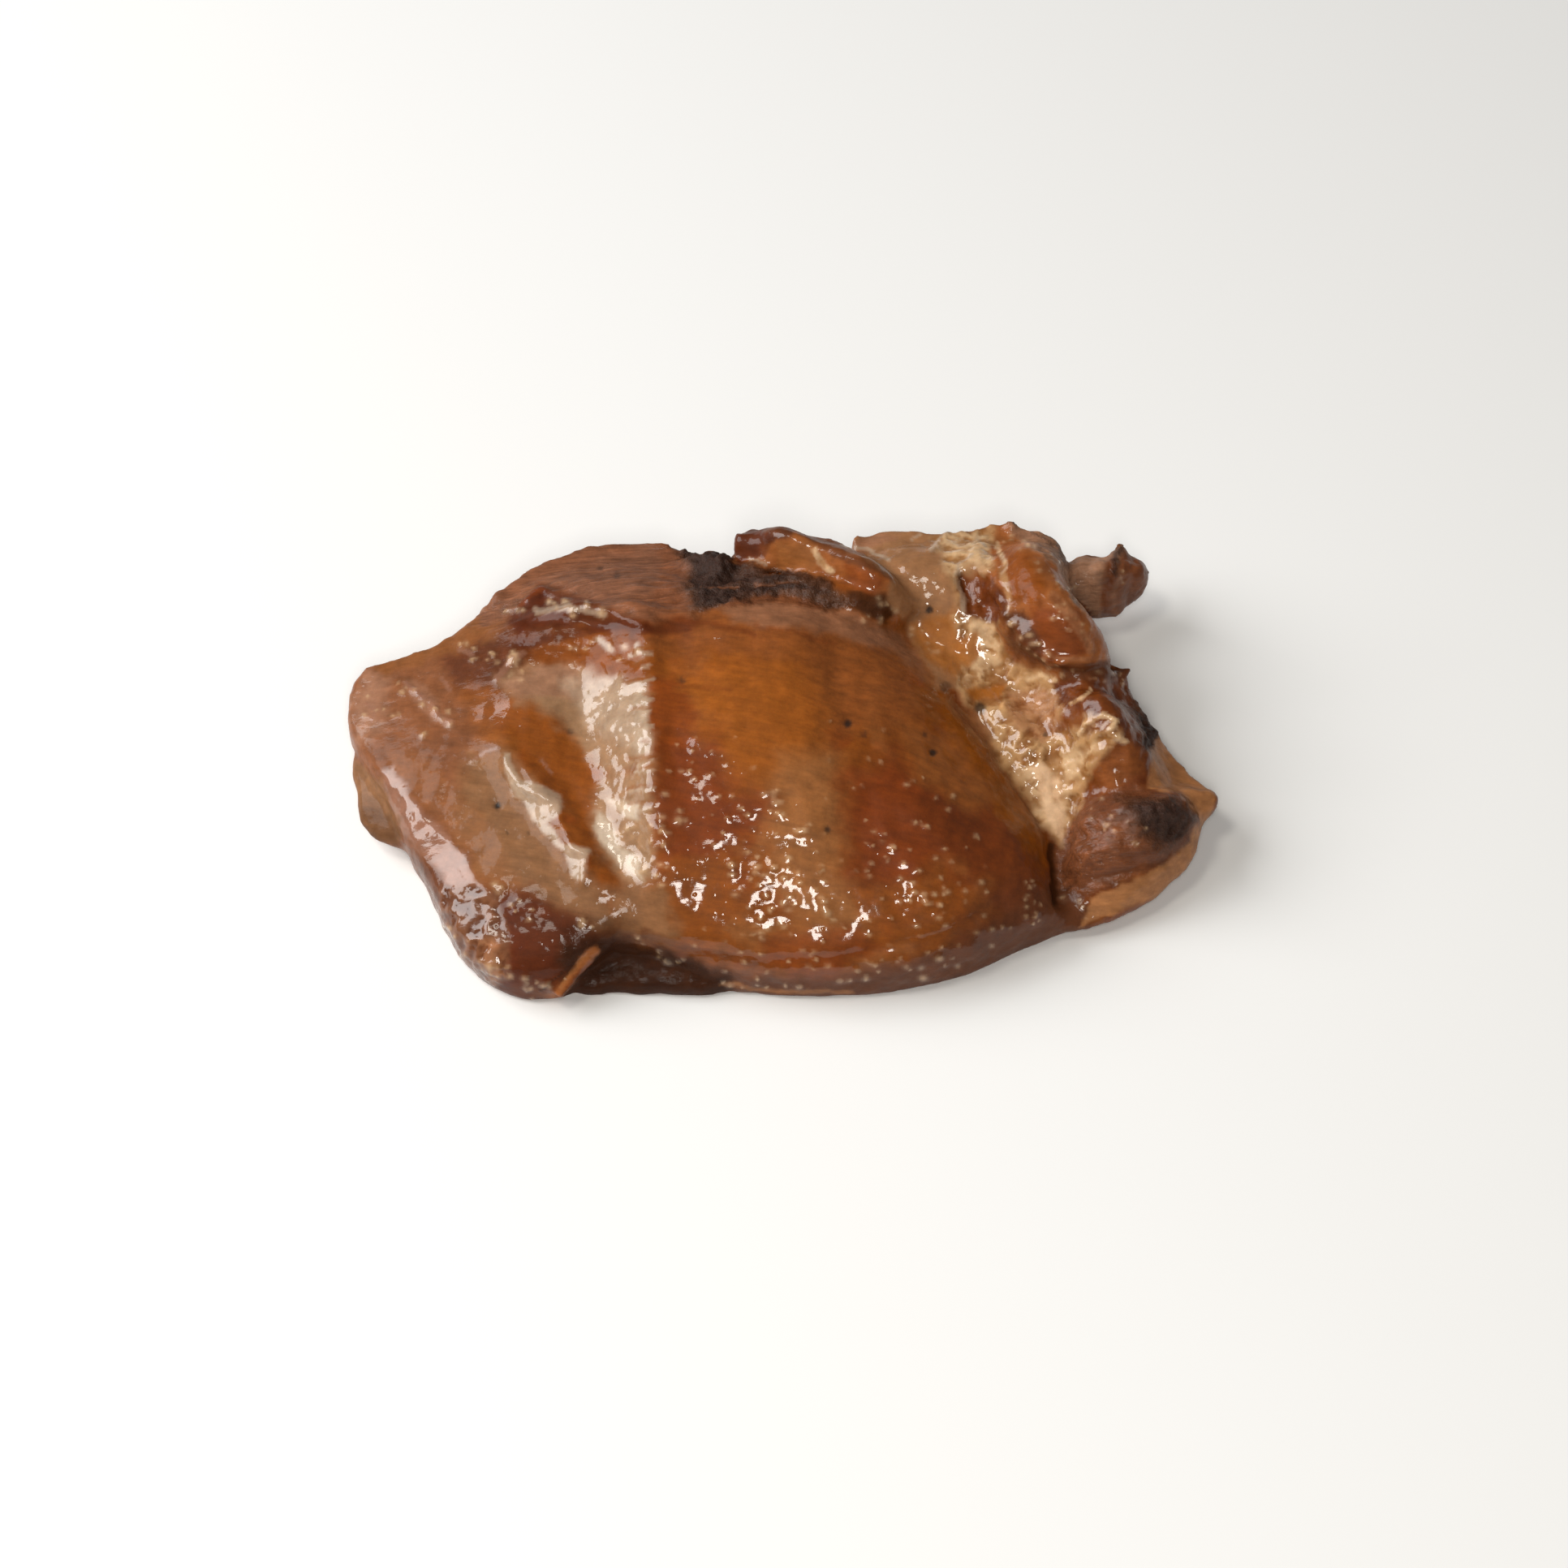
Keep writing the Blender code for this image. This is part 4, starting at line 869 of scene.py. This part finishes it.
def meat_material():
    nodes = Nodes("glazed_meat")
    tone = nodes.add("ShaderNodeAttribute", {"attribute_name": "tone"}).outputs["Color"]
    looks = nodes.split(nodes.add("ShaderNodeAttribute", {"attribute_name": "finish"}).outputs["Color"])
    detail = nodes.split(nodes.add("ShaderNodeAttribute", {"attribute_name": "detail"}).outputs["Color"])
    rough, wet, streaky = (looks.outputs[name] for name in ("Red", "Green", "Blue"))
    crinkled, fibrous, crumbly = (detail.outputs[name] for name in ("Red", "Green", "Blue"))
    place = nodes.add("ShaderNodeTexCoord").outputs["Object"]
    along = nodes.stretched(place, FIBRE_TURN, 7)
    streaks = nodes.stretched(place, STREAK_TURN, 6)

    # The scales of the noises are in features for each metre.
    fine = nodes.noise(place, 1300, 4)
    mottle = nodes.noise(place, 380, 3)
    fibres = nodes.noise(along, 1500, 3)
    brushed = nodes.noise(streaks, 700, 3)
    crumbs = nodes.noise(place, 1000, 5)
    ridged = {"noise_type": "RIDGED_MULTIFRACTAL"}
    ridges = nodes.add("ShaderNodeTexNoise", ridged, Vector=place, Scale=430.0, Detail=2.0)
    ridges = nodes.spread(ridges.outputs["Fac"], 0.1, 1.6)
    cells = nodes.add("ShaderNodeTexVoronoi", Vector=place, Scale=620.0)
    chosen = nodes.maths("GREATER_THAN", nodes.split(cells.outputs["Color"]).outputs["Red"], 0.55)
    drops = nodes.maths("MULTIPLY", nodes.spread(cells.outputs["Distance"], 0.34, 0.0), chosen)

    # Each grain darkens or lightens the tone: by its start, and by its share of the noise.
    shade = nodes.total(0.62, (mottle, 0.44), (fine, 0.32))
    shade = nodes.maths("MULTIPLY", shade, nodes.total(0.6, (brushed, 0.8), by=streaky))
    shade = nodes.maths("MULTIPLY", shade, nodes.total(0.35, (fibres, 1.3), by=fibrous))
    # The crinkles' ridged noise, which also bumps the surface, paints shade in their hollows and light on
    # their ridges.
    shade = nodes.maths("MULTIPLY", shade, nodes.total(0.62, (ridges, 0.7), by=crinkled))
    shade = nodes.maths("MULTIPLY", shade, nodes.total(0.2, (crumbs, 1.6), by=crumbly))
    coloured = nodes.add("ShaderNodeVectorMath", {"operation": "SCALE"}, Vector=tone, Scale=shade)
    nodes.put(nodes.surface.inputs["Base Color"], coloured.outputs["Vector"])
    nodes.put(nodes.surface.inputs["Roughness"], nodes.total(-0.08, (rough, 1.0), (mottle, 0.16)))
    nodes.put(nodes.surface.inputs["Coat Weight"], wet)

    # Heights below are in millimetres.
    coarse = nodes.total(
        0.0,
        (nodes.maths("MULTIPLY", ridges, crinkled), 0.16),
        (nodes.maths("MULTIPLY", fibres, fibrous), 0.30),
        (nodes.maths("MULTIPLY", crumbs, crumbly), 0.70),
    )
    meat = nodes.total(0.0, (coarse, 1.0), (fine, 0.05))
    glaze = nodes.total(0.0, (coarse, 0.8), (drops, 0.06), (nodes.noise(place, 560, 1), 0.06))
    for socket, height in (("Normal", meat), ("Coat Normal", glaze)):
        bump = nodes.add("ShaderNodeBump", Height=height, Strength=1.0, Distance=MM).outputs["Normal"]
        nodes.put(nodes.surface.inputs[socket], bump)
    nodes.surface.inputs["Specular IOR Level"].default_value = 0.12
    nodes.surface.inputs["Coat Roughness"].default_value = 0.08
    nodes.surface.inputs["Coat IOR"].default_value = 1.5
    nodes.surface.inputs["Subsurface Weight"].default_value = 0.05
    nodes.surface.inputs["Subsurface Radius"].default_value = (1.0, 0.35, 0.15)
    nodes.surface.inputs["Subsurface Scale"].default_value = 0.002
    return nodes.material


def dress(piece, material):
    meat = Meat(piece)
    meat.hidden_sides()
    for zone in ZONES:
        meat.zone(*zone)
    for streak in STREAKS:
        meat.streak(*streak)
    # Each tooth is pale fat with a painted reflection; the gaps between the teeth are golden skin.
    for tooth, line in teeth():
        meat.streak("white_fat_and_sheen" if tooth else "golden_skin", line, TOOTH_WIDTH, TOOTH_STRENGTH)
    raised, crinkles, fibres = relief(meat)
    points = meat.points + meat.normals * raised[:, None]
    points[:, 2] = np.maximum(points[:, 2], 0)  # nothing sinks below the resting face
    piece.data.vertices.foreach_set("co", (points * MM).astype(np.float32).ravel())
    piece.data.update()
    store(piece.data, "tone", tones(meat, crinkles, fibres))
    streaky = 1 - ramp(meat.layers[:, CRINKLES:].max(1), 0.03, 0.12)  # only skin without other grain
    wet = meat.layers[:, WET] * (1 - DRY_BACK * ramp(meat.normals[:, 1], 0.15, 0.7))
    store(piece.data, "finish", np.column_stack((meat.layers[:, ROUGH], wet, streaky)))
    store(piece.data, "detail", np.clip(meat.layers[:, CRINKLES:] / MOST_DETAIL, 0, 1))
    piece.data.materials.clear()
    piece.data.materials.append(material)
    piece.data.shade_smooth()


def area_light(name, azimuth, elevation, away, size, radiance, colour):
    """A soft light of the given width and height, aimed at the meat."""
    a, e = math.radians(azimuth), math.radians(elevation)
    data = bpy.data.lights.new(name, "AREA")
    data.shape = "RECTANGLE"
    data.size, data.size_y = size[0] * MM, size[1] * MM
    data.color = colour
    data.energy = radiance * math.pi * data.size * data.size_y  # in watts
    light = bpy.data.objects.new(name, data)
    bpy.context.scene.collection.objects.link(light)
    light.location = Vector((math.sin(a) * math.cos(e), math.cos(a) * math.cos(e), math.sin(e))) * away * MM
    light.rotation_euler = (-light.location).to_track_quat("-Z", "Y").to_euler()


def make_studio():
    for name, light in LIGHTS.items():
        area_light(name, *light)
    world = bpy.data.worlds.new("studio")
    world.use_nodes = True
    air = world.node_tree.nodes["Background"]
    air.inputs["Color"].default_value = (1, 1, 1, 1)
    air.inputs["Strength"].default_value = AMBIENT
    bpy.context.scene.world = world
    bpy.context.scene.view_settings.view_transform = "Standard"
    mesh = bpy.data.meshes.new("floor")
    corners = [(x * FLOOR_REACH, y * FLOOR_REACH, 0) for x, y in ((-1, -1), (1, -1), (1, 1), (-1, 1))]
    mesh.from_pydata(corners, [], [(0, 1, 2, 3)])
    floor = bpy.data.objects.new("floor", mesh)
    bpy.context.scene.collection.objects.link(floor)
    material = bpy.data.materials.new("pale_floor")
    material.use_nodes = True
    paint = material.node_tree.nodes["Principled BSDF"]
    paint.inputs["Base Color"].default_value = FLOOR_COLOUR
    paint.inputs["Roughness"].default_value = 0.8
    mesh.materials.append(material)


make_camera()
make_studio()
glazed = meat_material()
chicken = fine_copy(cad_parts[NODE])
dress(chicken, glazed)
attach(chicken, "root")
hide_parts(NODE)
